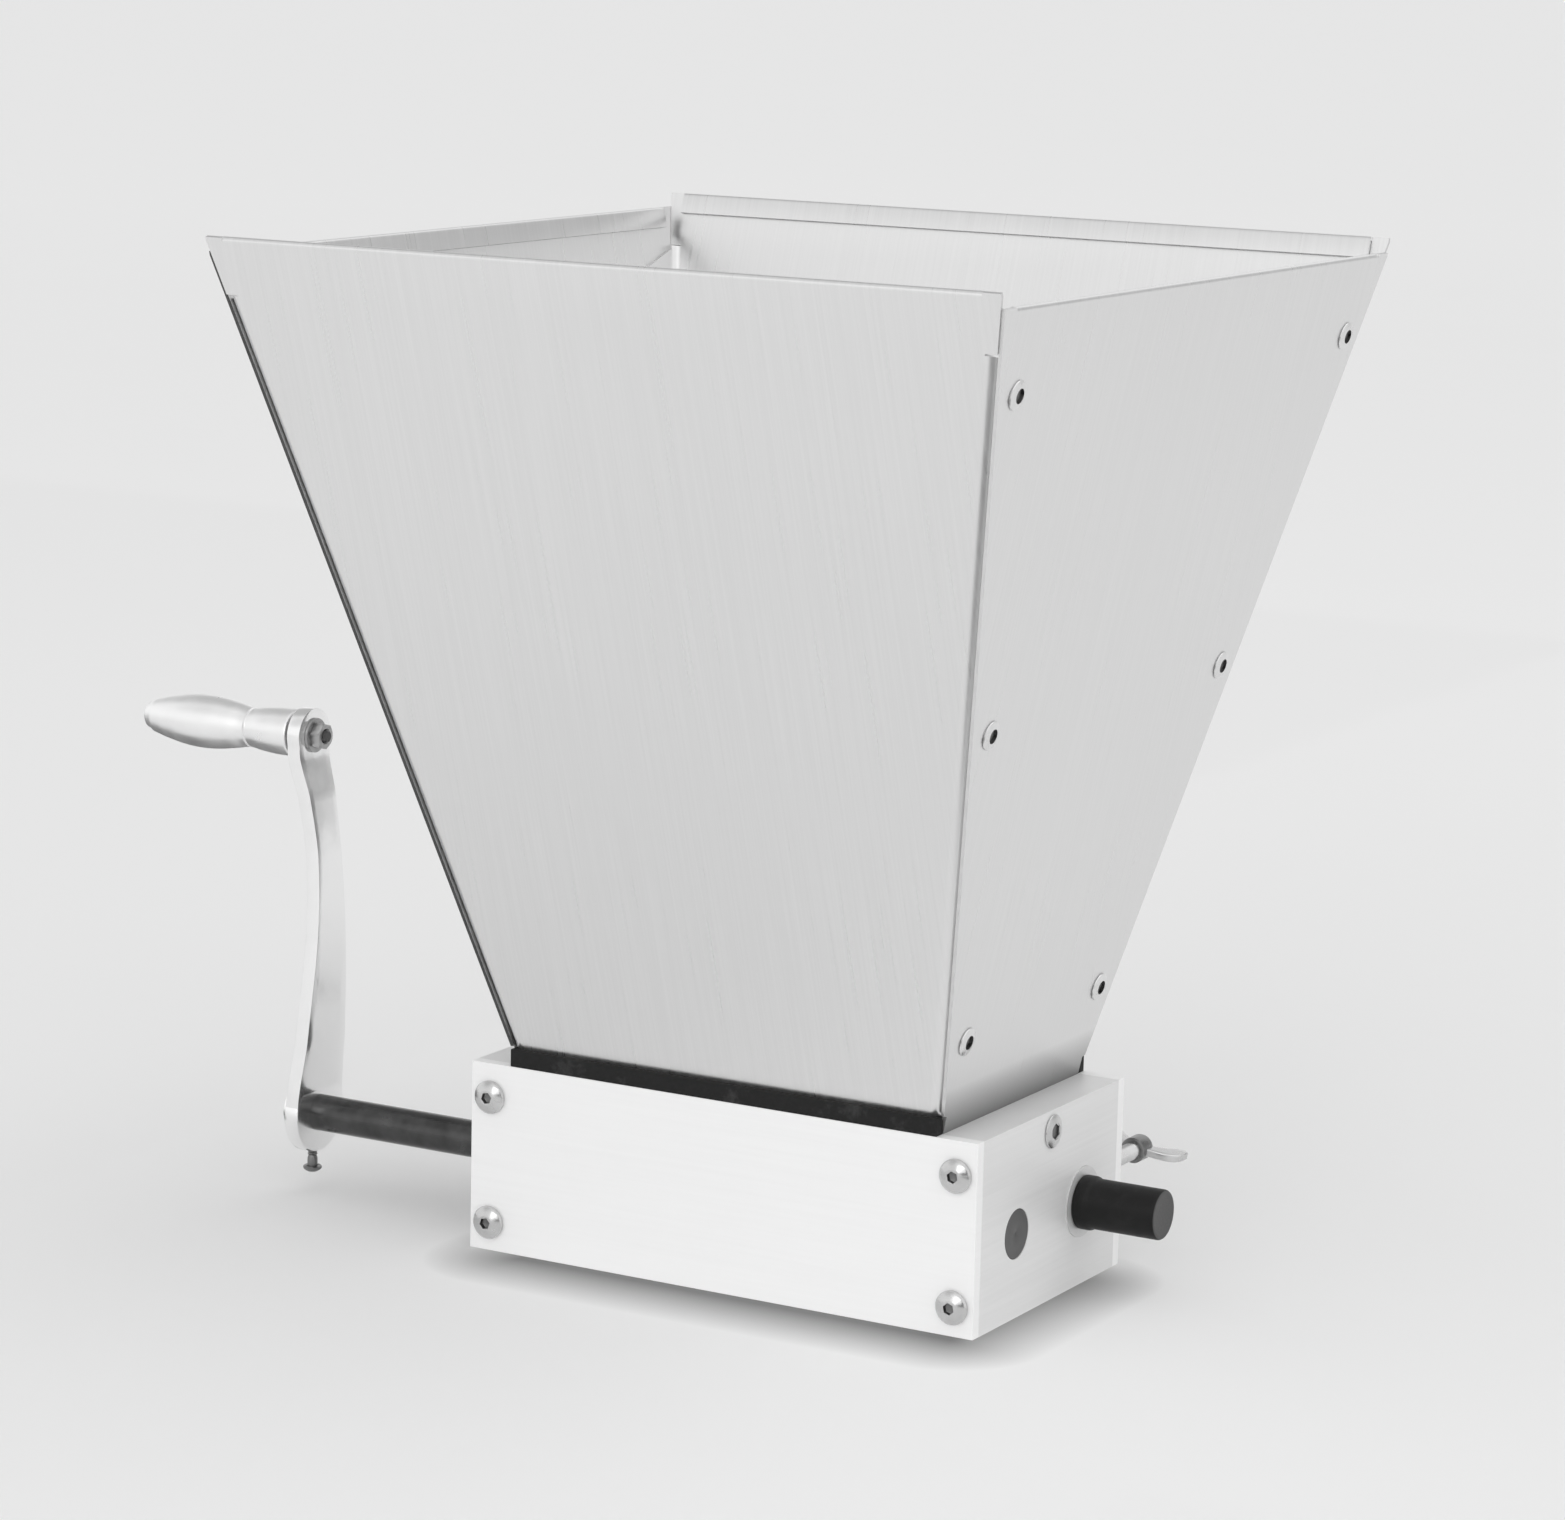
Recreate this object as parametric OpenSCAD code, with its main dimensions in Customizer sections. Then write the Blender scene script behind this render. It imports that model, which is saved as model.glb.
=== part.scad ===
// Hand grain mill with two rollers and a sheet metal hopper.
// X runs along the rollers (crank on the -X side), Y to the rear, Z up.
// The origin is the centre of the body's underside.

/* [Body] */
// Height of the body
body_h = 54; // [52:1:70]
// Thickness of the front and rear plates
plate_t = 3.5; // [3:0.5:6]
// Thickness of the two end plates
end_t = 12.6; // [12:0.1:16]
// Distance of the shaft axes below the body's mid height
axis_below = 3.3; // [2.5:0.1:4]

/* [Rollers] */
// Diameter of each roller
roller_d = 38.1; // [34:0.1:39]
// Length of each roller
roller_len = 132; // [90:1:180]
// Gap between the rollers with the adjusters at mid position
mid_gap = 1.5; // [1.4:0.1:2]
// Offset of the idler's bore in its adjusters
eccentric = 1; // [0.5:0.1:1]
// Diameter of the drive shaft
shaft_d = 10.6; // [9:0.1:11]
// Diameter of the idler's shaft
idler_shaft_d = 10; // [8:0.5:10]

/* [Hopper] */
// Thickness of the sheet
sheet_t = 1; // [0.8:0.1:1]
// Height of the front and rear panels' top edge above the body
hopper_h = 232.6; // [200:1:300]
// Lean of the front and rear panels
lean_front = 18.6; // [12:0.1:24]
// Lean of the side panels
lean_side = 12.5; // [8:0.1:18]
// Height of the folded hem at the top of every panel
hem_h = 6.5; // [5:0.5:8]
// Width of the flanges bent back from the front and rear panels
flange_w = 20; // [17:1:24]
// Height of the rubber strip under the front and rear panels
strip_h = 5; // [4:0.5:8]

/* [Crank] */
// Distance from the drive shaft to the handle's bolt
crank_r = 111.6; // [90:0.1:140]
// Distance from the body's left face to the crank arm
crank_out = 68.5; // [60:0.1:80]
// Thickness of the crank arm
arm_t = 4.2; // [3.6:0.1:5]
// Length of the grip
grip_len = 52.5; // [48:0.5:60]
// Largest radius of the grip
grip_r = 7.8; // [7:0.1:9]

/* [Knobs] */
// Diameter of the adjuster knobs
knob_d = 14.1; // [12:0.1:18]
// Length of the adjuster knobs
knob_len = 24.7; // [18:0.1:32]
// Turn of the wing screws' wings
wing_turn = 10; // [-45:1:45]

/* [Hidden] */
$fn = 64;

// Clearances shared by the mating pieces
running = 0.05;
press = 0.01;
apart = 0.3;
end_gap = 0.4;
flange_t = 1;
wall_gap = 1.65;

// Sizes that follow from the rollers
roller_r = roller_d / 2;
axis_y = (roller_d + mid_gap) / 2;
axis_z = body_h / 2 - axis_below;
inner_x = roller_len / 2 + end_gap + flange_t;
half_w = inner_x + end_t;
inner_y = axis_y + roller_r + wall_gap;
half_d = inner_y + plate_t;
end_x = inner_x + end_t / 2;

// Bushes and adjusters
bush_r = 7;
bush_flange_r = 9;
adjuster_r = 10;
adjuster_stub_r = 4;
adjuster_stub_len = 12;
collar_r = 7.6;
collar_len = 4;
blind_t = 3;

// Threaded fasteners
m5_r = 2.5;
m4_r = 2;
m3_r = 1.5;
button_r = 4.75;
button_h = 2.75;
m5_nut_r = 4.62;
m5_nut_h = 4;
m4_nut_r = 4.04;
m4_nut_h = 3.2;
pan_r = 4;
pan_h = 2.5;
button_key_r = 1.7;
pan_key_r = 1.3;
socket_depth = 1.5;
thread_end = 0.8;
plate_screw_z = [8.2, body_h - 9.6];
plate_screw_len = 16;
fixing_z = body_h - 6;
base_hole_y = 20;
base_hole_depth = 10;
wing_z = axis_z + 3.7;
wing_hub_y = half_d + 22;
wing_hub_r = 4;
wing_hub_len = 7;
wing_span = 13.6;
wing_thick = 2.6;

// Hopper planes: outer face of a front panel and of a side panel at height z
panel_y0 = inner_y + 0.2;
function front_y(z) = panel_y0 + (z - body_h) * tan(lean_front);
function side_x(z) = inner_x + (z - body_h) * tan(lean_side);
front_t = sheet_t / cos(lean_front);
side_t = sheet_t / cos(lean_side);
front_top = body_h + hopper_h;
side_top = front_top - 4;
front_bottom = body_h + strip_h;
hem_gap = 0.2;
notch_h = 16;
flange_cut = 8;
edge_in = 0.5;
tongue_h = 12;
tongue_half = inner_y - 2.5;
foot_half = inner_y - 0.2;
panel_screw_in = 10;
panel_screw_foot = 26;
panel_screw_top = 26.6;
panel_screw_z = [body_h + panel_screw_foot, body_h + 0.494 * hopper_h, front_top - panel_screw_top];

// Crank places
arm_x = -half_w - crank_out;
handle_z = axis_z + crank_r;
hub_r = 11.75;
hub_t = 5;
hub_boss_r = 8;
hub_boss_t = 8;
arm_top_r = 7.8;
arm_top_drop = 3;
arm_top_x = arm_x - arm_top_drop;
set_screw_x = arm_x - 2.8;
flat_z = axis_z - shaft_d / 2 + 0.4;
shoulder_r = 2.5;
washer_r = 5;
washer_t = 0.8;
grip_gap = 1.5;
grip_x = arm_top_x - arm_t - grip_gap;
bolt_head_r = 3.5;
bolt_head_h = 4;
bolt_recess = 4.8;

// Smooth curve through key points [along, across], n steps between each pair
function curve_at(p0, p1, p2, p3, t) =
    0.5 * (2 * p1 + (p2 - p0) * t + (2 * p0 - 5 * p1 + 4 * p2 - p3) * t * t
    + (3 * p1 - p0 - 3 * p2 + p3) * t * t * t);
function smooth(keys, n) = [
    for (i = [0 : len(keys) - 2])
        for (k = [0 : (i == len(keys) - 2 ? n : n - 1)])
            curve_at(keys[max(i - 1, 0)], keys[i], keys[i + 1],
                keys[min(i + 2, len(keys) - 1)], k / n)];
function backwards(list) = [for (i = [len(list) - 1 : -1 : 0]) list[i]];

// Turns a flat outline drawn as [x, z] into a slab along Y
module along_y(y0, y1) {
    translate([0, y1, 0])
        rotate([90, 0, 0])
            linear_extrude(y1 - y0)
                children();
}

// Turns a flat outline drawn as [y, z] into a slab along X
module along_x(x0, x1) {
    translate([x0, 0, 0])
        rotate([90, 0, 90])
            linear_extrude(x1 - x0)
                children();
}

// Round bar along +X, from x0 to x1
module bar_x(r, x0, x1) {
    translate([x0, 0, 0])
        rotate([0, 90, 0])
            cylinder(r = r, h = x1 - x0);
}

// Round bar along +Y, from y0 to y1
module bar_y(r, y0, y1) {
    translate([0, y0, 0])
        rotate([-90, 0, 0])
            cylinder(r = r, h = y1 - y0);
}

// Screw with a domed head and a hexagon socket, head above z = 0, shank below
module button_screw(r, len, head_r, head_h, key_r) {
    difference() {
        union() {
            intersection() {
                cylinder(r = head_r, h = head_h);
                translate([0, 0, head_h - head_r * 1.5])
                    sphere(r = head_r * 1.5);
            }
            translate([0, 0, -len])
                cylinder(r = r, h = len);
        }
        translate([0, 0, head_h - socket_depth])
            cylinder(r = key_r, h = socket_depth + 1, $fn = 6);
    }
}

// Hexagon nut standing on z = 0
module nut(r, h, bore) {
    difference() {
        cylinder(r = r, h = h, $fn = 6);
        translate([0, 0, -1])
            cylinder(r = bore, h = h + 2);
    }
}

// Front or rear plate of the body
module body_plate() {
    difference() {
        translate([-half_w, -half_d, 0])
            cube([2 * half_w, plate_t, body_h]);
        for (x = [-end_x, end_x], z = plate_screw_z)
            translate([x, 0, z])
                bar_y(m5_r + 0.25, -half_d - 1, -inner_y + 1);
    }
}

// Right end plate, drilled for its bush, adjuster and screws
module end_plate() {
    difference() {
        translate([inner_x, -inner_y, 0])
            cube([end_t, 2 * inner_y, body_h]);
        translate([0, -axis_y, axis_z])
            bar_x(bush_r, inner_x - 1, half_w + 1);
        translate([0, axis_y, axis_z])
            bar_x(adjuster_r + running, inner_x - 1, half_w + 1);
        translate([0, 0, fixing_z])
            bar_x(m5_r + running, inner_x - 1, half_w + 1);
        for (s = [-1, 1], z = plate_screw_z)
            translate([end_x, 0, z])
                mirror([0, s < 0 ? 1 : 0, 0])
                    bar_y(m5_r + running, half_d - plate_screw_len - 1, inner_y + 1);
        translate([end_x, 0, wing_z])
            bar_y(m5_r + running, axis_y, inner_y + 1);
        for (y = [-base_hole_y, base_hole_y])
            translate([end_x, y, -1])
                cylinder(r = m5_r, h = base_hole_depth + 1);
    }
}

// Four screws through the front plate into the end plates
module plate_screws() {
    for (x = [-end_x, end_x], z = plate_screw_z)
        translate([x, -half_d, z])
            rotate([90, 0, 0])
                button_screw(m5_r, plate_screw_len, button_r, button_h, button_key_r);
}

// Right bush of the drive shaft; a closed one hides the shaft's end
module drive_bush(closed) {
    translate([0, -axis_y, axis_z])
        difference() {
            union() {
                bar_x(bush_r + press, inner_x, half_w);
                bar_x(bush_flange_r, inner_x - flange_t, inner_x);
            }
            bar_x(shaft_d / 2 + running, inner_x - flange_t - 1,
                closed ? half_w - blind_t : half_w + 1);
        }
}

// Sheet of the front panel in side view: [y, z] with the inside towards +Y
module front_band(inset, thick, z0, z1) {
    polygon([
        [-front_y(z0) + inset, z0],
        [-front_y(z1) + inset, z1],
        [-front_y(z1) + inset + thick, z1],
        [-front_y(z0) + inset + thick, z0]]);
}

// Strip of the right side panel in front view: [x, z] with the inside towards -X
module side_band(inset, thick, z0, z1) {
    polygon([
        [side_x(z0) - inset, z0],
        [side_x(z1) - inset, z1],
        [side_x(z1) - inset - thick, z1],
        [side_x(z0) - inset - thick, z0]]);
}

// Places of the panel screws on the right panel: local +Z points out of the sheet
module panel_screw_places(front_only) {
    for (s = [-1, 1], z = panel_screw_z)
        if (s < 0 || !front_only)
            translate([side_x(z), s * (front_y(z) - panel_screw_in), z])
                rotate([0, 90 + lean_side, 0])
                    children();
}

// Front panel: leaning sheet, folded hem and a flange bent back at each side
module hopper_long_panel() {
    difference() {
        union() {
            intersection() {
                along_x(-side_x(front_top), side_x(front_top))
                    front_band(0, front_t, front_bottom, front_top);
                along_y(-front_y(front_top) - 1, 0)
                    polygon([
                        [side_t - side_x(front_bottom), front_bottom],
                        [side_t - side_x(front_top), front_top],
                        [side_x(front_top) - side_t, front_top],
                        [side_x(front_bottom) - side_t, front_bottom]]);
            }
            along_x(4 - side_x(front_top - hem_h), side_x(front_top - hem_h) - 4)
                union() {
                    front_band(front_t + hem_gap, front_t, front_top - hem_h, front_top);
                    front_band(0, 2 * front_t + hem_gap, front_top - sheet_t, front_top);
                }
            for (side = [0, 1])
                mirror([side, 0, 0])
                    intersection() {
                        along_y(-front_y(front_top), 0)
                            side_band(side_t, side_t, front_bottom, front_top);
                        along_x(0, side_x(front_top))
                            polygon([
                                [-front_y(front_bottom), front_bottom],
                                [-front_y(front_top - notch_h), front_top - notch_h],
                                [flange_w - front_y(front_top - notch_h),
                                    front_top - notch_h - flange_cut],
                                [flange_w - front_y(front_bottom), front_bottom]]);
                    }
        }
        for (side = [0, 1])
            mirror([side, 0, 0])
                panel_screw_places(true)
                    translate([0, 0, -5])
                        cylinder(r = m4_r + 0.15, h = 10);
    }
}

// Right side panel: leaning sheet with a hem and an upright tongue at the foot
module hopper_side_panel() {
    difference() {
        union() {
            intersection() {
                along_y(-front_y(side_top), front_y(side_top))
                    polygon([
                        [inner_x, body_h - tongue_h],
                        [inner_x, body_h],
                        [side_x(side_top), side_top],
                        [side_x(side_top) - side_t, side_top],
                        [inner_x - side_t, body_h],
                        [inner_x - side_t, body_h - tongue_h]]);
                along_x(0, side_x(side_top) + 1)
                    polygon([
                        [-tongue_half, body_h - tongue_h],
                        [-tongue_half, body_h],
                        [-foot_half, body_h],
                        [-foot_half, front_bottom],
                        [edge_in - front_y(front_bottom), front_bottom],
                        [edge_in - front_y(side_top), side_top],
                        [front_y(side_top) - edge_in, side_top],
                        [front_y(front_bottom) - edge_in, front_bottom],
                        [foot_half, front_bottom],
                        [foot_half, body_h],
                        [tongue_half, body_h],
                        [tongue_half, body_h - tongue_h]]);
            }
            along_y(5 - front_y(side_top - hem_h), front_y(side_top - hem_h) - 5)
                union() {
                    side_band(side_t + hem_gap, side_t, side_top - hem_h, side_top);
                    side_band(0, 2 * side_t + hem_gap, side_top - sheet_t, side_top);
                }
        }
        panel_screw_places(false)
            translate([0, 0, -5])
                cylinder(r = m4_r + 0.15, h = 10);
        translate([0, 0, fixing_z])
            bar_x(m5_r + 0.25, inner_x - 3, inner_x + 3);
    }
}

// Rubber strip on the front plate, under the front panel's lower edge
module rubber_strip() {
    translate([-inner_x, 0.1 - half_d, body_h])
        cube([2 * inner_x, plate_t - 0.1, strip_h]);
}

// Crank arm: a bowed flat bar with a round hub for the shaft
module crank_bar() {
    half_width = smooth([[0, 11.4], [0.16, 9.9], [0.33, 8.4], [0.5, 6.8],
        [0.7, 5.8], [0.85, 6.4], [1, 7.6]], 4);
    bow = smooth([[0, 0], [0.06, 0], [0.2, 1.8], [0.48, 3.5], [0.69, 2.7],
        [0.85, 0], [0.953, -arm_top_drop], [1.08, -arm_top_drop]], 4);
    intersection() {
        along_x(arm_x - 20, arm_x + 20)
            union() {
                polygon(concat(
                    [for (p = half_width) [p[1], p[0] * crank_r]],
                    [for (p = backwards(half_width)) [-p[1], p[0] * crank_r]]));
                translate([0, crank_r])
                    circle(r = arm_top_r);
            }
        along_y(-20, 20)
            polygon(concat(
                [for (p = bow) [arm_x + max(p[1], -arm_top_drop), p[0] * crank_r]],
                [for (p = backwards(bow))
                    [arm_x + max(p[1], -arm_top_drop) - arm_t, p[0] * crank_r]]));
    }
}

module crank_arm() {
    color("gainsboro")
        difference() {
            translate([0, -axis_y, axis_z])
                union() {
                    crank_bar();
                    bar_x(hub_r, arm_x - hub_t, arm_x);
                    bar_x(hub_boss_r, arm_x - hub_boss_t, arm_x - hub_t);
                }
            translate([0, -axis_y, axis_z])
                bar_x(shaft_d / 2 + running, arm_x - hub_boss_t - 1, arm_x + 1);
            translate([0, -axis_y, handle_z])
                bar_x(m4_r + running, arm_top_x - arm_t - 1, arm_top_x + 1);
            translate([set_screw_x, -axis_y, axis_z - hub_r - 1])
                cylinder(r = m3_r + running, h = hub_r);
        }
}

module crank_set_screw() {
    color("dimgray")
        translate([set_screw_x, -axis_y, axis_z - hub_r - 4.6])
            union() {
                cylinder(r = m3_r, h = flat_z - (axis_z - hub_r - 4.6));
                translate([0, 0, -2])
                    cylinder(r = 2.75, h = 2);
            }
}

// Turned grip: a collar at the arm, a neck and a belly, bored for its bolt
module handle_grip() {
    shares = smooth([[0.01, 0.885], [0.12, 0.872], [0.21, 0.82], [0.3, 0.74],
        [0.4, 0.85], [0.52, 0.968], [0.62, 1], [0.73, 0.955], [0.87, 0.79],
        [0.95, 0.65], [0.985, (bolt_head_r + 0.6) / grip_r]], 4);
    profile = [for (p = shares) [p[0] * grip_len, p[1] * grip_r]];
    color("whitesmoke")
        translate([grip_x, -axis_y, handle_z])
            rotate([0, -90, 0])
                difference() {
                    rotate_extrude()
                        polygon(concat(
                            [[0, 0], [shares[0][1] * grip_r - 0.6, 0]],
                            [for (p = profile) [p[1], p[0]]],
                            [[bolt_head_r + 0.4, grip_len], [0, grip_len]]));
                    translate([0, 0, -1])
                        cylinder(r = shoulder_r + running, h = grip_len + 2);
                    translate([0, 0, grip_len - bolt_recess])
                        cylinder(r = bolt_head_r + 0.2, h = bolt_recess + 1);
                }
}

module handle_bolt() {
    head_x = grip_x - grip_len + bolt_recess - apart;
    color("dimgray")
        translate([0, -axis_y, handle_z])
            difference() {
                union() {
                    bar_x(bolt_head_r, head_x - bolt_head_h, head_x);
                    bar_x(shoulder_r, head_x, arm_top_x - arm_t);
                    bar_x(m4_r, arm_top_x - arm_t, arm_top_x + washer_t + m4_nut_h + thread_end);
                }
                translate([head_x - bolt_head_h - 1, 0, 0])
                    rotate([0, 90, 0])
                        cylinder(r = button_key_r, h = socket_depth + 1, $fn = 6);
            }
}

module handle_washer() {
    color("silver")
        translate([0, -axis_y, handle_z])
            difference() {
                bar_x(washer_r, arm_top_x, arm_top_x + washer_t);
                bar_x(m4_r + running, arm_top_x - 1, arm_top_x + washer_t + 1);
            }
}

module handle_nut() {
    color("silver")
        translate([arm_top_x + washer_t, -axis_y, handle_z])
            rotate([0, 90, 0])
                nut(m4_nut_r, m4_nut_h, m4_r + running);
}

module drive_shaft() {
    color("dimgray")
        difference() {
            translate([0, -axis_y, axis_z])
                bar_x(shaft_d / 2, arm_x - hub_boss_t, half_w - blind_t - apart);
            translate([arm_x - hub_boss_t - 1, -axis_y - 10, flat_z - 10])
                cube([hub_boss_t + 3, 20, 10]);
        }
}

module drive_roller() {
    color("gray")
        translate([0, -axis_y, axis_z])
            difference() {
                bar_x(roller_r, -roller_len / 2, roller_len / 2);
                bar_x(shaft_d / 2 - press, -roller_len, roller_len);
            }
}

module idler_shaft() {
    color("dimgray")
        translate([0, axis_y, axis_z + eccentric])
            bar_x(idler_shaft_d / 2, -half_w + blind_t + apart, half_w - blind_t - apart);
}

module idler_roller() {
    color("gray")
        translate([0, axis_y, axis_z + eccentric])
            difference() {
                bar_x(roller_r, -roller_len / 2, roller_len / 2);
                bar_x(idler_shaft_d / 2 - press, -roller_len, roller_len);
            }
}

// Right adjuster bush: its bore is off centre, its stub carries the knob
module adjuster_bush(bore_gap) {
    difference() {
        translate([0, axis_y, axis_z])
            union() {
                bar_x(adjuster_r, inner_x - apart, half_w + apart);
                bar_x(adjuster_stub_r, half_w + apart, half_w + apart + adjuster_stub_len);
            }
        translate([0, axis_y, axis_z + eccentric])
            bar_x(idler_shaft_d / 2 + bore_gap, inner_x - 2, half_w - blind_t);
    }
}

module adjuster_knob() {
    translate([0, axis_y, axis_z])
        difference() {
            union() {
                bar_x(collar_r, half_w + apart, half_w + apart + collar_len);
                bar_x(knob_d / 2, half_w + apart + collar_len, half_w + apart + knob_len);
            }
            bar_x(adjuster_stub_r - press, half_w, half_w + apart + adjuster_stub_len);
        }
}

// Right wing screw, its axis along Y and its wings behind the rear plate
module wing_screw() {
    tip_y = axis_y + adjuster_r + 0.5;
    wing = smooth([[0, 0.147], [0.368, 0.191], [0.735, 0.257], [0.985, 0.515],
        [1, 0.846], [0.772, 0.926], [0.441, 0.588], [0, 0.441]], 3);
    translate([end_x, 0, wing_z])
        union() {
            bar_y(m5_r, tip_y, wing_hub_y + 1);
            bar_y(wing_hub_r, wing_hub_y, wing_hub_y + wing_hub_len);
            rotate([0, wing_turn, 0])
                for (side = [0, 1])
                    mirror([side, 0, 0])
                        translate([0, 0, -wing_thick / 2])
                            linear_extrude(wing_thick)
                                polygon([for (p = wing)
                                    [p[0] * wing_span, wing_hub_y + p[1] * wing_span]]);
        }
}

module front_plate() {
    color("whitesmoke")
        body_plate();
}

module rear_plate() {
    color("whitesmoke")
        difference() {
            mirror([0, 1, 0])
                body_plate();
            for (x = [-end_x, end_x])
                translate([x, 0, wing_z])
                    bar_y(m5_r + 0.5, inner_y - 1, half_d + 1);
        }
}

module left_end_plate() {
    color("gainsboro")
        mirror([1, 0, 0])
            end_plate();
}

module right_end_plate() {
    color("gainsboro")
        end_plate();
}

module front_plate_screws() {
    color("silver")
        plate_screws();
}

module rear_plate_screws() {
    color("silver")
        mirror([0, 1, 0])
            plate_screws();
}

module left_drive_bush() {
    color("dimgray")
        mirror([1, 0, 0])
            drive_bush(false);
}

module right_drive_bush() {
    color("dimgray")
        drive_bush(true);
}

module front_hopper_panel() {
    color("lightgray")
        hopper_long_panel();
}

module rear_hopper_panel() {
    color("lightgray")
        mirror([0, 1, 0])
            hopper_long_panel();
}

module left_hopper_panel() {
    color("lightgray")
        mirror([1, 0, 0])
            hopper_side_panel();
}

module right_hopper_panel() {
    color("lightgray")
        hopper_side_panel();
}

module hopper_panel_screws() {
    color("silver")
        for (side = [0, 1])
            mirror([side, 0, 0])
                panel_screw_places(false)
                    button_screw(m4_r, 2 * sheet_t + m4_nut_h + thread_end, pan_r, pan_h, pan_key_r);
}

module hopper_panel_nuts() {
    color("silver")
        for (side = [0, 1])
            mirror([side, 0, 0])
                panel_screw_places(false)
                    translate([0, 0, -2 * sheet_t - m4_nut_h])
                        nut(m4_nut_r, m4_nut_h, m4_r + running);
}

module hopper_fixing_screws() {
    color("silver")
        for (side = [0, 1])
            mirror([side, 0, 0])
                translate([half_w, 0, fixing_z])
                    rotate([0, 90, 0])
                        button_screw(m5_r, end_t + side_t + m5_nut_h + thread_end,
                            button_r, button_h, button_key_r);
}

module hopper_fixing_nuts() {
    color("silver")
        for (side = [0, 1])
            mirror([side, 0, 0])
                translate([inner_x - side_t - m5_nut_h, 0, fixing_z])
                    rotate([0, 90, 0])
                        nut(m5_nut_r, m5_nut_h, m5_r + running);
}

module front_rubber_strip() {
    color("black")
        rubber_strip();
}

module rear_rubber_strip() {
    color("black")
        mirror([0, 1, 0])
            rubber_strip();
}

module right_adjuster_bush() {
    color("dimgray")
        adjuster_bush(running);
}

module right_adjuster_knob() {
    color("black")
        adjuster_knob();
}

module left_adjuster_bush() {
    color("dimgray")
        mirror([1, 0, 0])
            adjuster_bush(apart);
}

module left_adjuster_knob() {
    color("black")
        mirror([1, 0, 0])
            adjuster_knob();
}

module right_wing_screw() {
    color("silver")
        wing_screw();
}

module left_wing_screw() {
    color("silver")
        mirror([1, 0, 0])
            wing_screw();
}

front_plate();
rear_plate();
left_end_plate();
right_end_plate();
front_plate_screws();
rear_plate_screws();
left_drive_bush();
right_drive_bush();
front_hopper_panel();
rear_hopper_panel();
left_hopper_panel();
right_hopper_panel();
hopper_panel_screws();
hopper_panel_nuts();
hopper_fixing_screws();
hopper_fixing_nuts();
front_rubber_strip();
rear_rubber_strip();
drive_shaft();
drive_roller();
crank_arm();
crank_set_screw();
handle_bolt();
handle_washer();
handle_nut();
handle_grip();
right_adjuster_bush();
right_adjuster_knob();
left_adjuster_bush();
left_adjuster_knob();
idler_shaft();
idler_roller();
right_wing_screw();
left_wing_screw();
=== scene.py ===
# %% [markdown]
# # A hand grain mill, dressed for the studio
# The mill stands on a pale studio floor. Its solids come from the CAD frame. This lesson dresses them:
# sheet metal with real bends, turned and knurled parts, screws with sockets, and a finish for each.
# Everything is in metres, with X along the rollers, Y to the rear and Z up.

import math

import bmesh
import bpy
from mathutils import Matrix, Vector


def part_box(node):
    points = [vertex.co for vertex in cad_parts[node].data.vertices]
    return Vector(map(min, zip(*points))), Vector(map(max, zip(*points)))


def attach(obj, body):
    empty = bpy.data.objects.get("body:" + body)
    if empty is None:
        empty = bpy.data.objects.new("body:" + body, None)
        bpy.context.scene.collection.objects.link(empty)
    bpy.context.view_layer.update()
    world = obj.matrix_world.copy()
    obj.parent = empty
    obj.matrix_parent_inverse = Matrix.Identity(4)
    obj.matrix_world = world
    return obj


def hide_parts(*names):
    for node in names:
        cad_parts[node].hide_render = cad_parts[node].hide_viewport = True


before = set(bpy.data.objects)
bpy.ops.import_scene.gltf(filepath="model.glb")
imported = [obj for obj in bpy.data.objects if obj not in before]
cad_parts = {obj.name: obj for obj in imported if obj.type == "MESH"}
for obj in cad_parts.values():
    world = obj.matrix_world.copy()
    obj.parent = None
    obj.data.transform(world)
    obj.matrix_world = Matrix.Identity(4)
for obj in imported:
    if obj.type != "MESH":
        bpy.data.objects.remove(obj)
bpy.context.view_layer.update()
MM = 0.001

# %% [markdown]
# ## The camera
# The photograph was taken from the front right with a long lens, a little above the mill. A long lens
# keeps the hopper's edges nearly parallel. The place, the turn and the lens were worked out from the
# straight edges in the photograph, so they are set as plain numbers and not aimed by eye. The lens and
# the shift of the image are in the photograph's pixels, the camera's place is in metres.

# %% Camera
PHOTO_WIDTH = 1565
FOCAL_PIXELS = 4945.14
SENSOR = 36.0
ROLL = math.radians(1.360)
SHIFT_RIGHT, SHIFT_UP = -23.63, -28.77
CAMERA_PLACE = Vector((0.66051, -1.17334, 0.38988))
to_camera = Vector((0.48294, -0.85791, 0.17539))
level_right = Vector((0.87142, 0.49055, 0.0))
level_up = to_camera.cross(level_right)
image_right = level_right * math.cos(ROLL) + level_up * math.sin(ROLL)
image_up = level_up * math.cos(ROLL) - level_right * math.sin(ROLL)

camera_data = bpy.data.cameras.new("photo_camera")
camera_data.sensor_width = SENSOR
camera_data.sensor_fit = "HORIZONTAL"
camera_data.lens = FOCAL_PIXELS * SENSOR / PHOTO_WIDTH
camera_data.shift_x = SHIFT_RIGHT / PHOTO_WIDTH
camera_data.shift_y = SHIFT_UP / PHOTO_WIDTH
camera_data.clip_start = 0.05
camera_data.clip_end = 60.0
camera = bpy.data.objects.new("photo_camera", camera_data)
turn = Matrix((image_right, image_up, to_camera)).transposed().to_4x4()
camera.matrix_world = Matrix.Translation(CAMERA_PLACE) @ turn
bpy.context.scene.collection.objects.link(camera)
bpy.context.scene.camera = camera
print("lens in mm:", round(camera_data.lens, 2))

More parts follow.
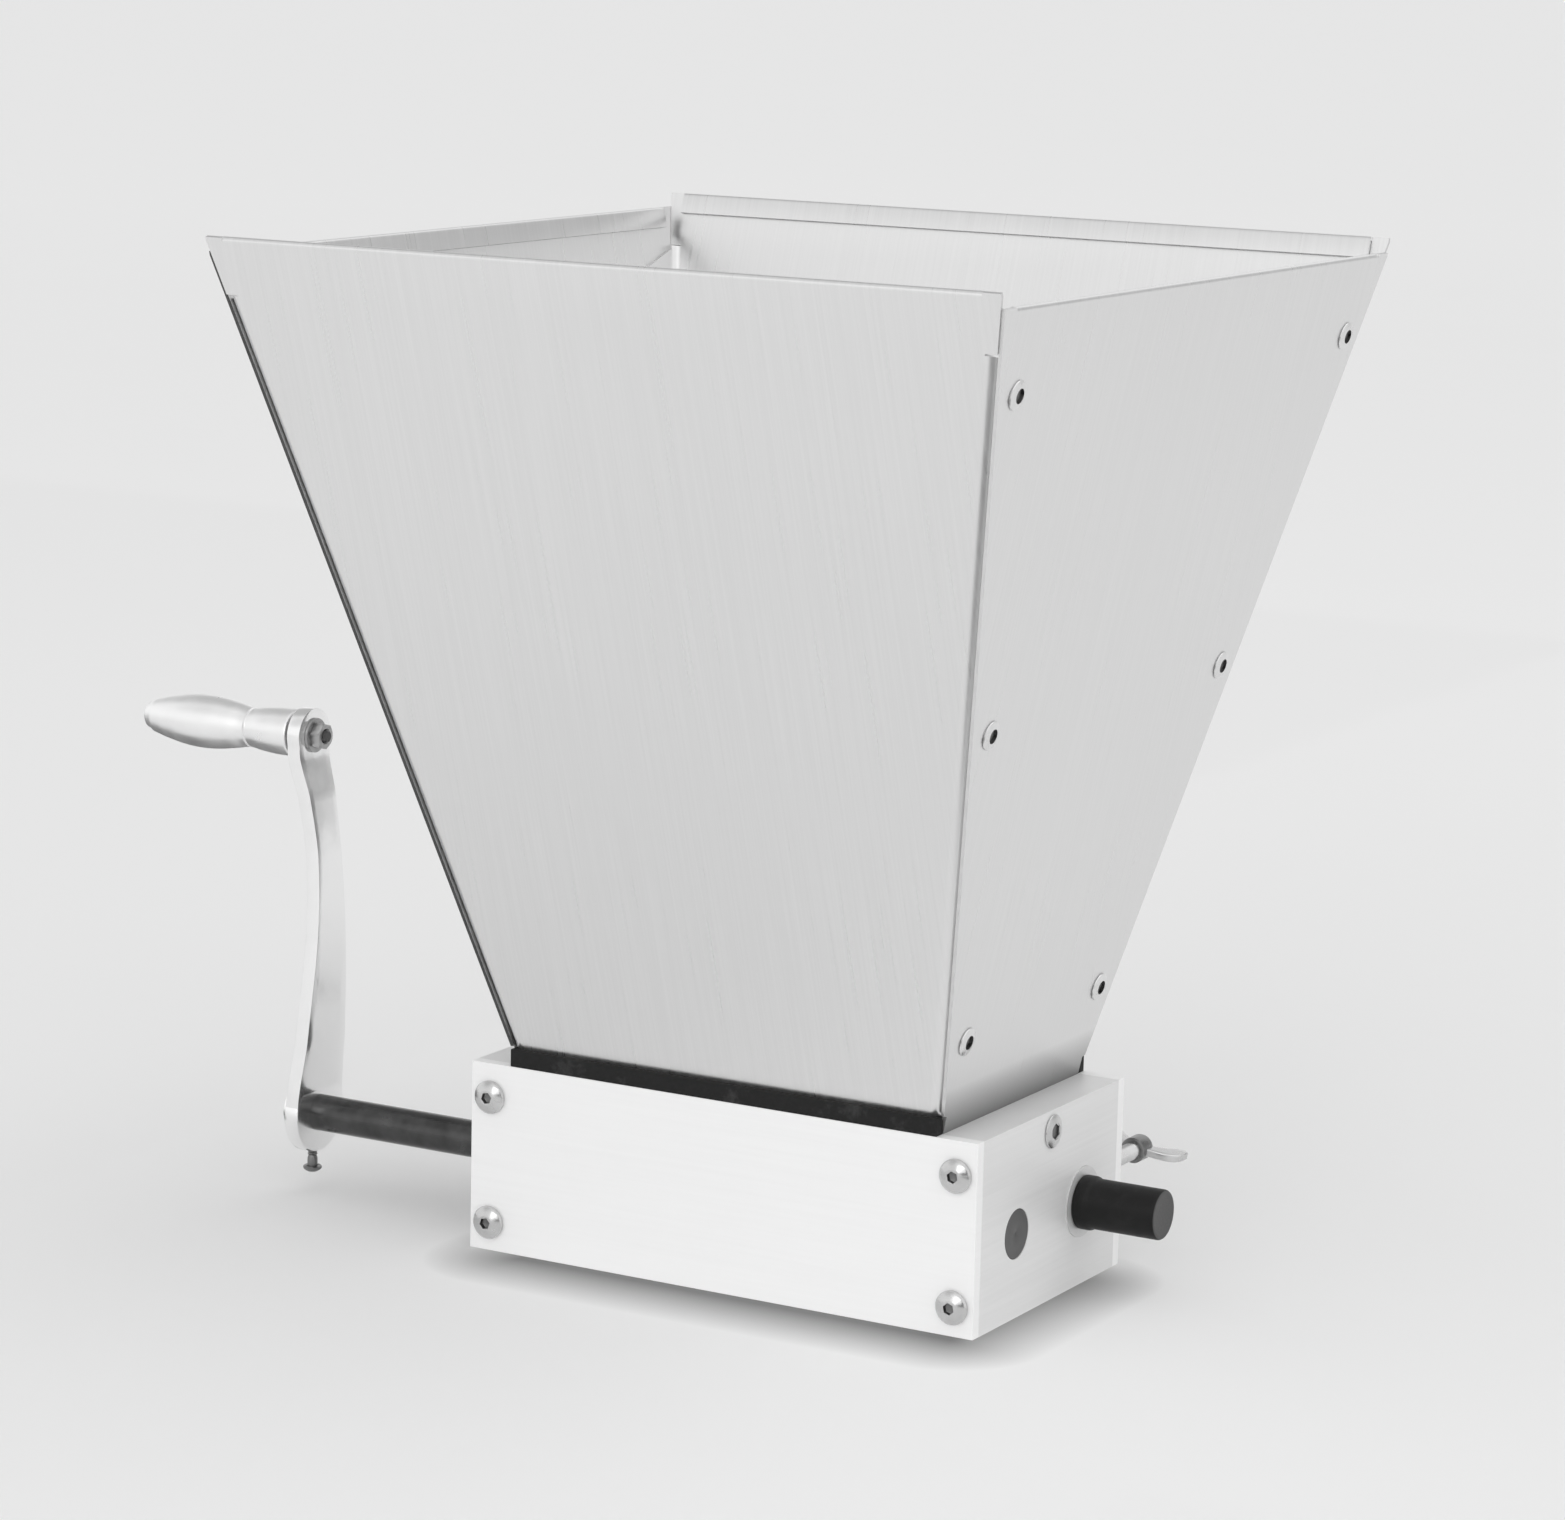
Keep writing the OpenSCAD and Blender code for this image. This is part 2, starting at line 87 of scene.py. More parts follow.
# %% [markdown]
# ## Small tools for materials
# A finish is a Principled shader with a few textures around it. The textures read Object coordinates,
# so a pattern has its real size in metres and stays on the piece when the piece turns. `noise` can be
# squeezed in one direction and then gives streaks, as brushing with an abrasive belt leaves on metal.
# `spread` and `calculate` work on its values, `tint` makes a colour of them and `bump` a relief.

# %% Tools for materials
def new_material(name, colour, metallic, roughness, specular=0.5):
    """A node material whose even values sit on the shader's own sockets."""
    material = bpy.data.materials.new(name)
    material.use_nodes = True
    shader = material.node_tree.nodes["Principled BSDF"]
    shader.inputs["Base Color"].default_value = (*colour, 1.0)
    shader.inputs["Metallic"].default_value = metallic
    shader.inputs["Roughness"].default_value = roughness
    shader.inputs["Specular IOR Level"].default_value = specular
    material.diffuse_color = (*colour, 1.0)
    return material, material.node_tree, shader


def noise(tree, stretch, scale=1.0, detail=4.0, rough=0.55):
    """Noise on Object coordinates. stretch gives the waves per metre along X, Y and Z."""
    coordinates = tree.nodes.new("ShaderNodeTexCoord")
    mapping = tree.nodes.new("ShaderNodeMapping")
    mapping.inputs["Scale"].default_value = stretch
    texture = tree.nodes.new("ShaderNodeTexNoise")
    texture.inputs["Scale"].default_value = scale
    texture.inputs["Detail"].default_value = detail
    texture.inputs["Roughness"].default_value = rough
    tree.links.new(coordinates.outputs["Object"], mapping.inputs["Vector"])
    tree.links.new(mapping.outputs["Vector"], texture.inputs["Vector"])
    return texture.outputs["Fac"]


def spread(tree, value, low, high, start=0.3, end=0.7):
    """Maps a noise value from start..end to low..high."""
    limits = tree.nodes.new("ShaderNodeMapRange")
    limits.inputs["From Min"].default_value = start
    limits.inputs["From Max"].default_value = end
    limits.inputs["To Min"].default_value = low
    limits.inputs["To Max"].default_value = high
    tree.links.new(value, limits.inputs["Value"])
    return limits.outputs["Result"]


def tint(tree, factor, dark, light):
    """A colour between dark and light, each a plain colour or the output of a node."""
    mix = tree.nodes.new("ShaderNodeMix")
    mix.data_type = "RGBA"
    for socket, colour in (("A", dark), ("B", light)):
        if isinstance(colour, tuple):
            mix.inputs[socket].default_value = (*colour, 1.0)
        else:
            tree.links.new(colour, mix.inputs[socket])
    tree.links.new(factor, mix.inputs["Factor"])
    return mix.outputs["Result"]


def calculate(tree, operation, *values):
    """A sum on values, each a number or the output of a node."""
    node = tree.nodes.new("ShaderNodeMath")
    node.operation = operation
    for socket, value in zip(node.inputs, values):
        if isinstance(value, float):
            socket.default_value = value
        else:
            tree.links.new(value, socket)
    return node.outputs["Value"]


def bump(tree, shader, *layers):
    """Stacks bumps of (height value, depth in metres, strength) and gives them to the shader."""
    below = None
    for height, depth, strength in layers:
        node = tree.nodes.new("ShaderNodeBump")
        node.inputs["Distance"].default_value = depth
        node.inputs["Strength"].default_value = strength
        tree.links.new(height, node.inputs["Height"])
        if below is not None:
            tree.links.new(below, node.inputs["Normal"])
        below = node.outputs["Normal"]
    tree.links.new(below, shader.inputs["Normal"])


def grey(value):
    """The same value for red, green and blue."""
    return (value, value, value)


print("material tools ready")

# %% [markdown]
# ## Brushed metal
# The hopper is steel sheet, brushed along its height. The body is aluminium plate, brushed along its
# length and then anodised, which makes it more even and less like a mirror. Both are drawn by one
# function: streaks in the colour, in the roughness and in the bump, and a slow bump for the gentle
# waves that thin sheet always has. Painted stripes would look flat, so the streaks also change how
# sharply the metal mirrors the studio. The sheared edges of the sheet are rougher and darker; the
# left panel's is the darkest, a painted shade, because in the photograph it reads as one dark line.
# The sides are darker where the sheet meets the body, a painted shade that `foot` draws.

# %% Brushed finishes
PATCH_SHARE = 0.35
# Painted shade at the foot of the side panels: how dark it gets and how high it reaches, in metres.
FOOT_SHADE_SHARE = 0.32
FOOT_SHADE_HEIGHT = 0.013


def brushed(name, level, roughness, stretch, waves=0.0, contrast=0.05, metallic=1.0, depth=0.00002,
            foot=None):
    """Brushed metal of a mean brightness level, with streaks along the slow axes of stretch."""
    material, tree, shader = new_material(name, grey(level), metallic, roughness)
    fine = noise(tree, stretch)
    patches = noise(tree, (9.0, 9.0, 9.0), detail=2.0)
    scratches = noise(tree, tuple(3.1 * v for v in stretch), detail=2.0, rough=0.4)
    blend = calculate(tree, "MULTIPLY_ADD", patches, PATCH_SHARE, spread(tree, fine, 0.0, 1 - PATCH_SHARE))
    colour = tint(tree, blend, grey(level - contrast), grey(level + contrast))
    # Painted shade: the colour darkens towards the foot, where the sheet meets the body.
    if foot is not None:
        place = tree.nodes.new("ShaderNodeTexCoord")
        axes = tree.nodes.new("ShaderNodeSeparateXYZ")
        tree.links.new(place.outputs["Object"], axes.inputs["Vector"])
        height = spread(tree, axes.outputs["Z"], 0.0, 1.0, foot, foot + FOOT_SHADE_HEIGHT)
        colour = tint(tree, height, grey(level * FOOT_SHADE_SHARE), colour)
    tree.links.new(colour, shader.inputs["Base Color"])
    rough = spread(tree, fine, roughness - 0.05, roughness + 0.06)
    tree.links.new(rough, shader.inputs["Roughness"])
    layers = [(fine, depth, 0.35), (scratches, depth * 0.5, 0.3)]
    if waves:
        layers.insert(0, (noise(tree, (6.0, 6.0, 4.0), detail=1.0), waves, 1.0))
    bump(tree, shader, *layers)
    return material


sheet_long = brushed("brushed_sheet_front_rear", 0.81, 0.32, (1300.0, 14.0, 14.0), 0.0012, 0.03,
                     depth=0.000012)
# The side panels get a painted shade at their foot.
body_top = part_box("right_end_plate")[1].z
sheet_side = brushed("brushed_sheet_sides", 0.80, 0.32, (14.0, 1300.0, 14.0), 0.0012, 0.03,
                     depth=0.000012, foot=body_top)
sheared = brushed("sheared_sheet_edge", 0.72, 0.40, (700.0, 700.0, 60.0), contrast=0.06)
# Painted shade: the left panel's cut edge is drawn much darker than the other sheared edges.
left_edge_shade = brushed("painted_shade_sheet_edge", 0.10, 0.45, (700.0, 700.0, 60.0), contrast=0.03)
plate_metal = brushed("brushed_plate", 0.94, 0.50, (18.0, 18.0, 900.0), contrast=0.015, metallic=0.12)
end_metal = brushed("brushed_end_plate", 0.80, 0.48, (18.0, 18.0, 900.0), contrast=0.03, metallic=0.25)
print("brushed finishes: 6")

# %% [markdown]
# ## Turned, polished and blackened metal
# Screws and nuts are bright turned steel. The crank arm is polished aluminium and its grip has a satin
# surface, which shows the light as a soft band and not as a sharp streak. The shaft, its bushes and
# the small bolts are blackened, a thin dark oxide: metal underneath, but a dull grey mirror. The
# bushes that the knobs turn are bright and matt, a little darker than the end plates: painted shade round the
# knobs.

# %% Turned finishes
def turned_metal(name, level, roughness, contrast=0.06, metallic=1.0, rings=(2500.0, 40.0, 40.0)):
    """Metal off the lathe: faint rings round the X axis, small stains and a grain."""
    material, tree, shader = new_material(name, grey(level), metallic, roughness)
    lines = noise(tree, rings, detail=2.0)
    stains = noise(tree, (160.0, 160.0, 160.0), detail=5.0)
    colour = tint(tree, spread(tree, stains, 0.0, 1.0), grey(level - contrast), grey(level + contrast))
    tree.links.new(colour, shader.inputs["Base Color"])
    rough = spread(tree, stains, roughness - 0.06, roughness + 0.08)
    tree.links.new(rough, shader.inputs["Roughness"])
    bump(tree, shader, (lines, 0.000012, 0.4), (stains, 0.00001, 0.3))
    return material


screw_steel = turned_metal("bright_screw_steel", 0.62, 0.22)
polished = turned_metal("polished_crank_metal", 0.95, 0.18, contrast=0.02, rings=(60.0, 300.0, 20.0))
satin = turned_metal("satin_grip_metal", 0.94, 0.33, contrast=0.02, metallic=0.9)
panel_steel = turned_metal("bright_panel_screw", 0.80, 0.28, contrast=0.04)
dull_steel = turned_metal("dull_nut_steel", 0.48, 0.36, contrast=0.14)
blackened = turned_metal("blackened_shaft", 0.085, 0.22, contrast=0.025)
# Blackened steel for the set screw; it is also the painted shade inside the sockets and the painted dark
# reflection on the wing hubs.
dark_screw = turned_metal("blackened_screw_and_painted_shade", 0.20, 0.30, contrast=0.05)
# Painted shade: the adjuster bushes are a little darker than the end plates, round the knobs.
bush_steel_and_shade = turned_metal("adjuster_bush_steel", 0.72, 0.45, metallic=0.4)
dark_bush = turned_metal("dark_bush", 0.10, 0.42, contrast=0.015, metallic=0.3)
wing_plated = turned_metal("plated_wing_steel", 0.66, 0.28)
roller_steel = turned_metal("knurled_roller_steel", 0.42, 0.30, contrast=0.08)
print("turned finishes: 11")

# %% [markdown]
# ## Black plastic and rubber
# The knobs are satin plastic with a very fine moulded grain. The strips are matt rubber with a little
# dust on them, which is why their colour is patchy and never fully black.

# %% Plastic and rubber
def black_moulded(name, level, roughness, grain, dust, specular):
    """A dark moulded material: grain in the bump and light dust in the colour."""
    material, tree, shader = new_material(name, grey(level), 0.0, roughness, specular)
    fine = noise(tree, grey(grain), detail=3.0)
    marks = noise(tree, grey(55.0), detail=6.0, rough=0.7)
    colour = tint(tree, spread(tree, marks, 0.0, 1.0, 0.56, 0.78), grey(level), grey(level + dust))
    tree.links.new(colour, shader.inputs["Base Color"])
    tree.links.new(spread(tree, fine, roughness - 0.05, roughness + 0.07), shader.inputs["Roughness"])
    bump(tree, shader, (fine, 0.00003, 0.35))
    return material


knob_plastic = black_moulded("satin_black_knob", 0.009, 0.46, 2600.0, 0.010, 0.22)
knob_face = black_moulded("lighter_knob_end", 0.055, 0.45, 1800.0, 0.03, 0.5)
rubber = black_moulded("matt_black_rubber", 0.012, 0.75, 900.0, 0.05, 0.3)
print("moulded finishes: 3")

# %% [markdown]
# ## The studio
# The floor is one wide pale sheet, so large that its far edge lies above the picture and no horizon
# shows behind the mill. Its paint is slightly uneven. The light comes from all around, so the mill
# throws hardly any shadow, only the soft dark band where the body meets the floor. Bright plates
# throw light back into that band and wash it out, so part of it is painted: the floor's colour, as
# the camera sees it, is darker close to the body's footprint and reaches its full tone 27 mm away.
# The photograph shows the band along the front and the right end, so it is pulled in at the left
# end and at the back.

# %% Floor
def stage_sheet(name, half_x, half_y, centre, finish):
    """A flat sheet on or over the floor; it belongs to the studio."""
    sheet = bmesh.new()
    place = Matrix.Translation(centre) @ Matrix.Diagonal((half_x, half_y, 1, 1))
    bmesh.ops.create_grid(sheet, x_segments=8, y_segments=8, size=1.0, matrix=place)
    data = bpy.data.meshes.new(name)
    sheet.to_mesh(data)
    sheet.free()
    data.materials.append(finish)
    made = bpy.data.objects.new(name, data)
    bpy.context.scene.collection.objects.link(made)
    return made


FLOOR_HALF = 30.0
FLOOR_TONE = 0.89
FAR_TONE = 0.95
CONTACT_TONE = 0.24
CONTACT_REACH = 0.027
UNEVEN = 0.15
LEFT_IN, RIGHT_IN, FRONT_OUT, REAR_IN = 0.018, 0.005, 0.003, 0.021
floor_paint, floor_tree, floor_shader = new_material("floor_paint", grey(FLOOR_TONE), 0.0, 0.85, 0.1)
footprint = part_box("front_plate")
band_middle = ((LEFT_IN - RIGHT_IN) / 2, -(FRONT_OUT + REAR_IN) / 2, 0.0)
band_half = (footprint[1].x - (LEFT_IN + RIGHT_IN) / 2, -footprint[0].y + (FRONT_OUT - REAR_IN) / 2, 0.0)
floor_place = floor_tree.nodes.new("ShaderNodeTexCoord")
outside = floor_place.outputs["Object"]
for operation, value in (("SUBTRACT", band_middle), ("ABSOLUTE", None), ("SUBTRACT", band_half),
                         ("MAXIMUM", (0.0, 0.0, 0.0)), ("LENGTH", None)):
    step = floor_tree.nodes.new("ShaderNodeVectorMath")
    step.operation = operation
    if value is not None:
        step.inputs[1].default_value = value
    floor_tree.links.new(outside, step.inputs[0])
    outside = step.outputs["Value" if operation == "LENGTH" else "Vector"]
open_floor = spread(floor_tree, outside, 0.0, 1.0, 0.0, CONTACT_REACH)
floor_path = floor_tree.nodes.new("ShaderNodeLightPath")
unseen = spread(floor_tree, floor_path.outputs["Is Camera Ray"], 1.0, 0.0, 0.0, 1.0)
full_tone = calculate(floor_tree, "MAXIMUM", open_floor, unseen)
far_share = spread(floor_tree, outside, -0.07, 0.93, 0.3, 4.0)
far_share = calculate(floor_tree, "MULTIPLY_ADD", noise(floor_tree, grey(3.0), detail=3.0), UNEVEN, far_share)
floor_light = tint(floor_tree, far_share, grey(FLOOR_TONE), grey(FAR_TONE))
floor_colour = tint(floor_tree, full_tone, grey(CONTACT_TONE), floor_light)
floor_tree.links.new(floor_colour, floor_shader.inputs["Base Color"])
stage_sheet("studio_floor", FLOOR_HALF, FLOOR_HALF, (0, 0, 0), floor_paint)
print("floor size in m:", 2 * FLOOR_HALF)

# %% [markdown]
# ## The room
# The room is a pale dome with five soft patches, each with a direction and a brightness. The first is
# at the front left, where the rear panel's inside looks. The second, above it, greys the hems. The
# third is high at the rear left and gives the grip a grey upper edge. The fourth is low at the rear
# right, which the left hem looks at. The fifth is a small dark one where the camera stands, since a
# real photographer shows as a dark spot in shiny metal. Where the picture reaches past the floor, the
# camera sees an even pale grey and no patch.

# %% The room
ROOM_TONE = 1.0
SEEN_TONE = 0.79
ROOM_PATCHES = [((-0.45, -0.79, 0.38), 12, 35, 0.98), ((-0.50, -0.45, 0.74), 8, 26, 0.70),
                ((-0.45, 0.45, 0.77), 14, 42, 0.46), ((0.45, 0.85, 0.27), 8, 28, 0.50),
                (tuple(to_camera), 9, 25, 0.14)]
world = bpy.data.worlds.new("studio_room")
world.use_nodes = True
room = world.node_tree
room_light = room.nodes["Background"]
room_place = room.nodes.new("ShaderNodeTexCoord")


def patch(direction, inner, outer):
    """1 inside a round patch of the dome and 0 outside, soft between; angles in degrees."""
    dot = room.nodes.new("ShaderNodeVectorMath")
    dot.operation = "DOT_PRODUCT"
    dot.inputs[1].default_value = Vector(direction).normalized()
    room.links.new(room_place.outputs["Generated"], dot.inputs[0])
    edge, middle = math.cos(math.radians(outer)), math.cos(math.radians(inner))
    soft = spread(room, dot.outputs["Value"], 0.0, 1.0, edge, middle)
    soft.node.interpolation_type = "SMOOTHSTEP"
    return soft


tone = grey(ROOM_TONE)
for direction, inner, outer, level in ROOM_PATCHES:
    tone = tint(room, patch(direction, inner, outer), tone, grey(level))
room.links.new(tone, room_light.inputs["Color"])
room_light.inputs["Strength"].default_value = 1.0
room_path = room.nodes.new("ShaderNodeLightPath")
room_view = room.nodes.new("ShaderNodeBackground")
room_view.inputs["Color"].default_value = (*grey(SEEN_TONE), 1.0)
room_view.inputs["Strength"].default_value = 1.0
room_switch = room.nodes.new("ShaderNodeMixShader")
room.links.new(room_path.outputs["Is Camera Ray"], room_switch.inputs["Fac"])
room.links.new(room_light.outputs["Background"], room_switch.inputs[1])
room.links.new(room_view.outputs["Background"], room_switch.inputs[2])
room.links.new(room_switch.outputs["Shader"], room.nodes["World Output"].inputs["Surface"])
bpy.context.scene.world = world
print("room patches:", len(ROOM_PATCHES))

# %% [markdown]
# ## Dark cards
# Bright metal in a bright room has no edges. A photographer lays black or grey cards beside it, and
# their mirror images draw the dark lines along its bends. The two cards here lie on the floor. Only
# reflections see them, and they throw no shadow.

# %% Dark cards
def dark_card(name, level, half_x, half_y, centre):
    """A matt card that only reflections see."""
    paper, tree, shader = new_material(name, grey(level), 0.0, 0.9, 0.1)
    colour = tint(tree, noise(tree, grey(40.0)), grey(level * 0.9), grey(level * 1.1))
    tree.links.new(colour, shader.inputs["Base Color"])
    card = stage_sheet(name, half_x, half_y, centre, paper)
    card.visible_camera = False
    card.visible_diffuse = False
    card.visible_transmission = False
    card.visible_shadow = False


dark_card("dark_card_left", 0.16, 0.64, 0.64, (-0.86, 0.56, 0.003))
dark_card("dark_card_right", 0.30, 0.25, 0.17, (0.42, -0.30, 0.003))
print("dark cards: 2")

# %% [markdown]
# ## Two large weak lamps
# The room gives most of the light. One wide lamp in front lifts the side that faces the camera, and
# one above does the same for the top. Large lamps give soft highlights on the small round parts.

# %% Softboxes
def softbox(name, place, aim, width, height, watts):
    """A large rectangular lamp at place, pointed at aim."""
    lamp = bpy.data.lights.new(name, "AREA")
    lamp.shape = "RECTANGLE"
    lamp.size = width
    lamp.size_y = height
    lamp.energy = watts
    lamp_object = bpy.data.objects.new(name, lamp)
    lamp_object.location = place
    lamp_object.rotation_euler = (Vector(aim) - Vector(place)).to_track_quat("-Z", "Y").to_euler()
    bpy.context.scene.collection.objects.link(lamp_object)


softbox("front_softbox", (0.5, -2.2, 1.0), (0.0, 0.0, 0.12), 1.6, 1.2, 8.0)
softbox("top_softbox", (0.4, 0.7, 2.0), (0.0, 0.0, 0.1), 1.8, 1.8, 3.0)
bpy.context.scene.view_settings.view_transform = "Standard"
print("lamps: 2")

# %% [markdown]
# ## Small tools for pieces
# A bmesh holds a shape while it is made. `turned` spins a profile round an axis, as a lathe does.
# `ring`, `hexagon` and `bridge` build screws and nuts out of loops that fit on each other.
# `keep` turns the finished bmesh into a piece: it points the faces outwards, smooths the round faces,
# keeps the sharp edges, hangs the piece on an empty for the CAD body that carries it and hides the nodes it
# stands in for.

# %% Tools for pieces
SHARP = math.radians(32.0)


def settle(bm):
    """Merges doubled points and points the faces outwards."""
    bmesh.ops.remove_doubles(bm, verts=bm.verts, dist=0.002)
    bmesh.ops.recalc_face_normals(bm, faces=bm.faces)


def keep(bm, name, finish, body, nodes=()):
    """Makes the bmesh, which is in millimetres, a piece of the mill."""
    bmesh.ops.recalc_face_normals(bm, faces=bm.faces)
    bmesh.ops.scale(bm, verts=bm.verts, vec=(MM, MM, MM))
    data = bpy.data.meshes.new(name)
    bm.to_mesh(data)
    bm.free()
    data.shade_smooth()
    data.set_sharp_from_angle(angle=SHARP)
    for material in finish if isinstance(finish, (list, tuple)) else [finish]:
        data.materials.append(material)
    piece = bpy.data.objects.new(name, data)
    bpy.context.scene.collection.objects.link(piece)
    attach(piece, body)
    if nodes:
        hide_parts(*nodes)
    print(name, "faces:", len(data.polygons))


def turned(profile, steps=64):
    """Spins a profile of (radius, height) round Z."""
    bm = bmesh.new()
    points = [bm.verts.new((radius, 0.0, height)) for radius, height in profile]
    lines = [bm.edges.new(pair) for pair in zip(points, points[1:])]
    bmesh.ops.spin(bm, geom=points + lines, cent=(0, 0, 0), axis=(0, 0, 1), dvec=(0, 0, 0),
                   angle=math.tau, steps=steps, use_merge=True, use_duplicate=False)
    settle(bm)
    return bm


def soften(bm, width, segments=2, angle=35.0):
    """Rounds every edge sharper than the angle."""
    limit = math.radians(angle)
    edges = [e for e in bm.edges if len(e.link_faces) == 2 and e.calc_face_angle(0.0) > limit]
    bmesh.ops.bevel(bm, geom=edges, offset=width, offset_type="OFFSET", affect="EDGES",
                    segments=segments, profile=0.5, material=-1, clamp_overlap=True)


def ring(bm, radius, height, sides=24):
    """A circle of edges at a height."""
    made = bmesh.ops.create_circle(bm, cap_ends=False, radius=radius, segments=sides,
                                   matrix=Matrix.Translation((0, 0, height)))
    return list({e for v in made["verts"] for e in v.link_edges})


def hexagon(bm, radius, height):
    """A hexagon with as many points as the circles: a circle pulled in to six straight sides."""
    edges = ring(bm, radius, height)
    for point in {v for e in edges for v in e.verts}:
        angle = math.atan2(point.co.y, point.co.x) % (math.pi / 3)
        reach = math.cos(math.pi / 6) / math.cos(angle - math.pi / 6)
        point.co.x *= reach
        point.co.y *= reach
    return edges


def bridge(bm, loops):
    """Joins each loop to the next one."""
    for low, high in zip(loops, loops[1:]):
        bmesh.ops.bridge_loops(bm, edges=low + high)


def close_loop(bm, edges):
    """Fills a loop with one flat face."""
    bmesh.ops.contextual_create(bm, geom=edges)


def copies(template, places):
    """One bmesh with the template repeated at each place."""
    data = bpy.data.meshes.new("template")
    template.to_mesh(data)
    template.free()
    bm = bmesh.new()
    for place in places:
        before = len(bm.verts)
        bm.from_mesh(data)
        bm.verts.ensure_lookup_table()
        bmesh.ops.transform(bm, matrix=place, verts=bm.verts[before:])
    bmesh.ops.recalc_face_normals(bm, faces=bm.faces)
    bpy.data.meshes.remove(data)
    return bm


def place_all(bm, matrix):
    """Moves a whole shape."""
    bmesh.ops.transform(bm, matrix=matrix, verts=bm.verts)
    return bm


def join(bm, other):
    """Adds another shape to the bmesh."""
    data = bpy.data.meshes.new("joined")
    other.to_mesh(data)
    other.free()
    bm.from_mesh(data)
    bpy.data.meshes.remove(data)


def at(x, y, z):
    """A place as a matrix."""
    return Matrix.Translation((x, y, z))


def turn_x(degrees):
    """A turn round X as a matrix; the next two are the same for Y and Z."""
    return Matrix.Rotation(math.radians(degrees), 4, "X")


def turn_y(degrees):
    return Matrix.Rotation(math.radians(degrees), 4, "Y")


def turn_z(degrees):
    return Matrix.Rotation(math.radians(degrees), 4, "Z")


AS_IT_IS = Matrix.Identity(4)
MIRROR_X = Matrix.Diagonal((-1, 1, 1, 1))
MIRROR_Y = Matrix.Diagonal((1, -1, 1, 1))
print("tools ready")

# %% [markdown]
# ## The sizes that the pieces share
# The frame tells where the plates stand, so these places are read from the boxes of its nodes. Only
# the leans of the panels and the small sizes of sheet and screws are typed here, as on a drawing.

# %% Shared sizes
front_low, front_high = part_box("front_plate")
end_low, end_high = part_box("right_end_plate")
BODY_TOP = front_high.z / MM
HALF_W = front_high.x / MM
HALF_D = -front_low.y / MM
INNER_X = end_low.x / MM
INNER_Y = end_high.y / MM
END_X = (INNER_X + HALF_W) / 2
PANEL_Y0 = INNER_Y + 0.2
LEAN_FRONT = math.radians(18.6)
LEAN_SIDE = math.radians(12.5)
SHEET = 1.0
FRONT_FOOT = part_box("front_hopper_panel")[0].z / MM
FRONT_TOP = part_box("front_hopper_panel")[1].z / MM
SIDE_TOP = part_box("right_hopper_panel")[1].z / MM
HEM = 6.5
HEM_GAP = 0.2
BEND = 3.3
SIDE_T = SHEET / math.cos(LEAN_SIDE)


def front_y(z):
    """Distance of a long panel's outer face from the middle at height z, in mm."""
    return PANEL_Y0 + (z - BODY_TOP) * math.tan(LEAN_FRONT)


def side_x(z):
    """Distance of a side panel's outer face from the middle at height z, in mm."""
    return INNER_X + (z - BODY_TOP) * math.tan(LEAN_SIDE)


print("hopper top in mm:", FRONT_TOP, "body in mm:", 2 * HALF_W, 2 * HALF_D, BODY_TOP)

# %% [markdown]
# ## The hopper's long panels
# Each long panel is one sheet: a leaning face, a flange bent back at both sides and a hem folded in
# along the top. The hem makes the edge stiff and safe. A sheet-metal worker starts with a flat blank
# and bends it, so this does the same: a grid becomes the face, two corners are cut as reliefs, the
# side edges are pulled back as flanges, the fold is rounded, and the hem is spun over. Only then does
# the skin get its thickness, towards the inside.

# %% Long panel
RELIEF_TOP = FRONT_TOP - 16.0
RELIEF_CUT = 0.35
HEM_R = SHEET + HEM_GAP / 2
FLANGE = 20.0
FLANGE_DROP = 6.0
BEND_STEPS = 6
RIM_SLACK = 0.05
LONG_EDGE = 1.3


def grid_of(rows, columns):
    """A grid whose points know their row and column."""
    bm = bmesh.new()
    bmesh.ops.create_grid(bm, x_segments=columns - 1, y_segments=rows - 1, size=1.0)
    points = {}
    for point in bm.verts:
        column = round((point.co.x + 1) / 2 * (columns - 1))
        row = round((point.co.y + 1) / 2 * (rows - 1))
        points[row, column] = point
    return bm, points


def edge_between(bm, a, b):
    """The edge that joins two points."""
    return bm.edges.get((a, b))


def face_outward(bm, direction):
    """Points a whole skin to one side, judged by its largest face."""
    bmesh.ops.recalc_face_normals(bm, faces=bm.faces)
    bm.normal_update()
    largest = max(bm.faces, key=lambda f: f.calc_area())
    if largest.normal.dot(direction) < 0:
        bmesh.ops.reverse_faces(bm, faces=bm.faces)


def fold_hem(bm, edges, centre, axis, down, length):
    """Spins the top edges over by half a turn and pulls the hem down behind the face."""
    points = list({v for e in edges for v in e.verts})
    spun = bmesh.ops.spin(bm, geom=points + edges, cent=centre, axis=axis, dvec=(0, 0, 0),
                          angle=-math.pi, steps=8, use_merge=False, use_duplicate=False)
    last = [e for e in spun["geom_last"] if isinstance(e, bmesh.types.BMEdge)]
    pull(bm, last, down * length)


def pull(bm, edges, shift):
    """Extrudes edges and moves the new ones."""
    made = bmesh.ops.extrude_edge_only(bm, edges=edges)["geom"]
    points = [g for g in made if isinstance(g, bmesh.types.BMVert)]
    bmesh.ops.translate(bm, verts=points, vec=shift)
    return points


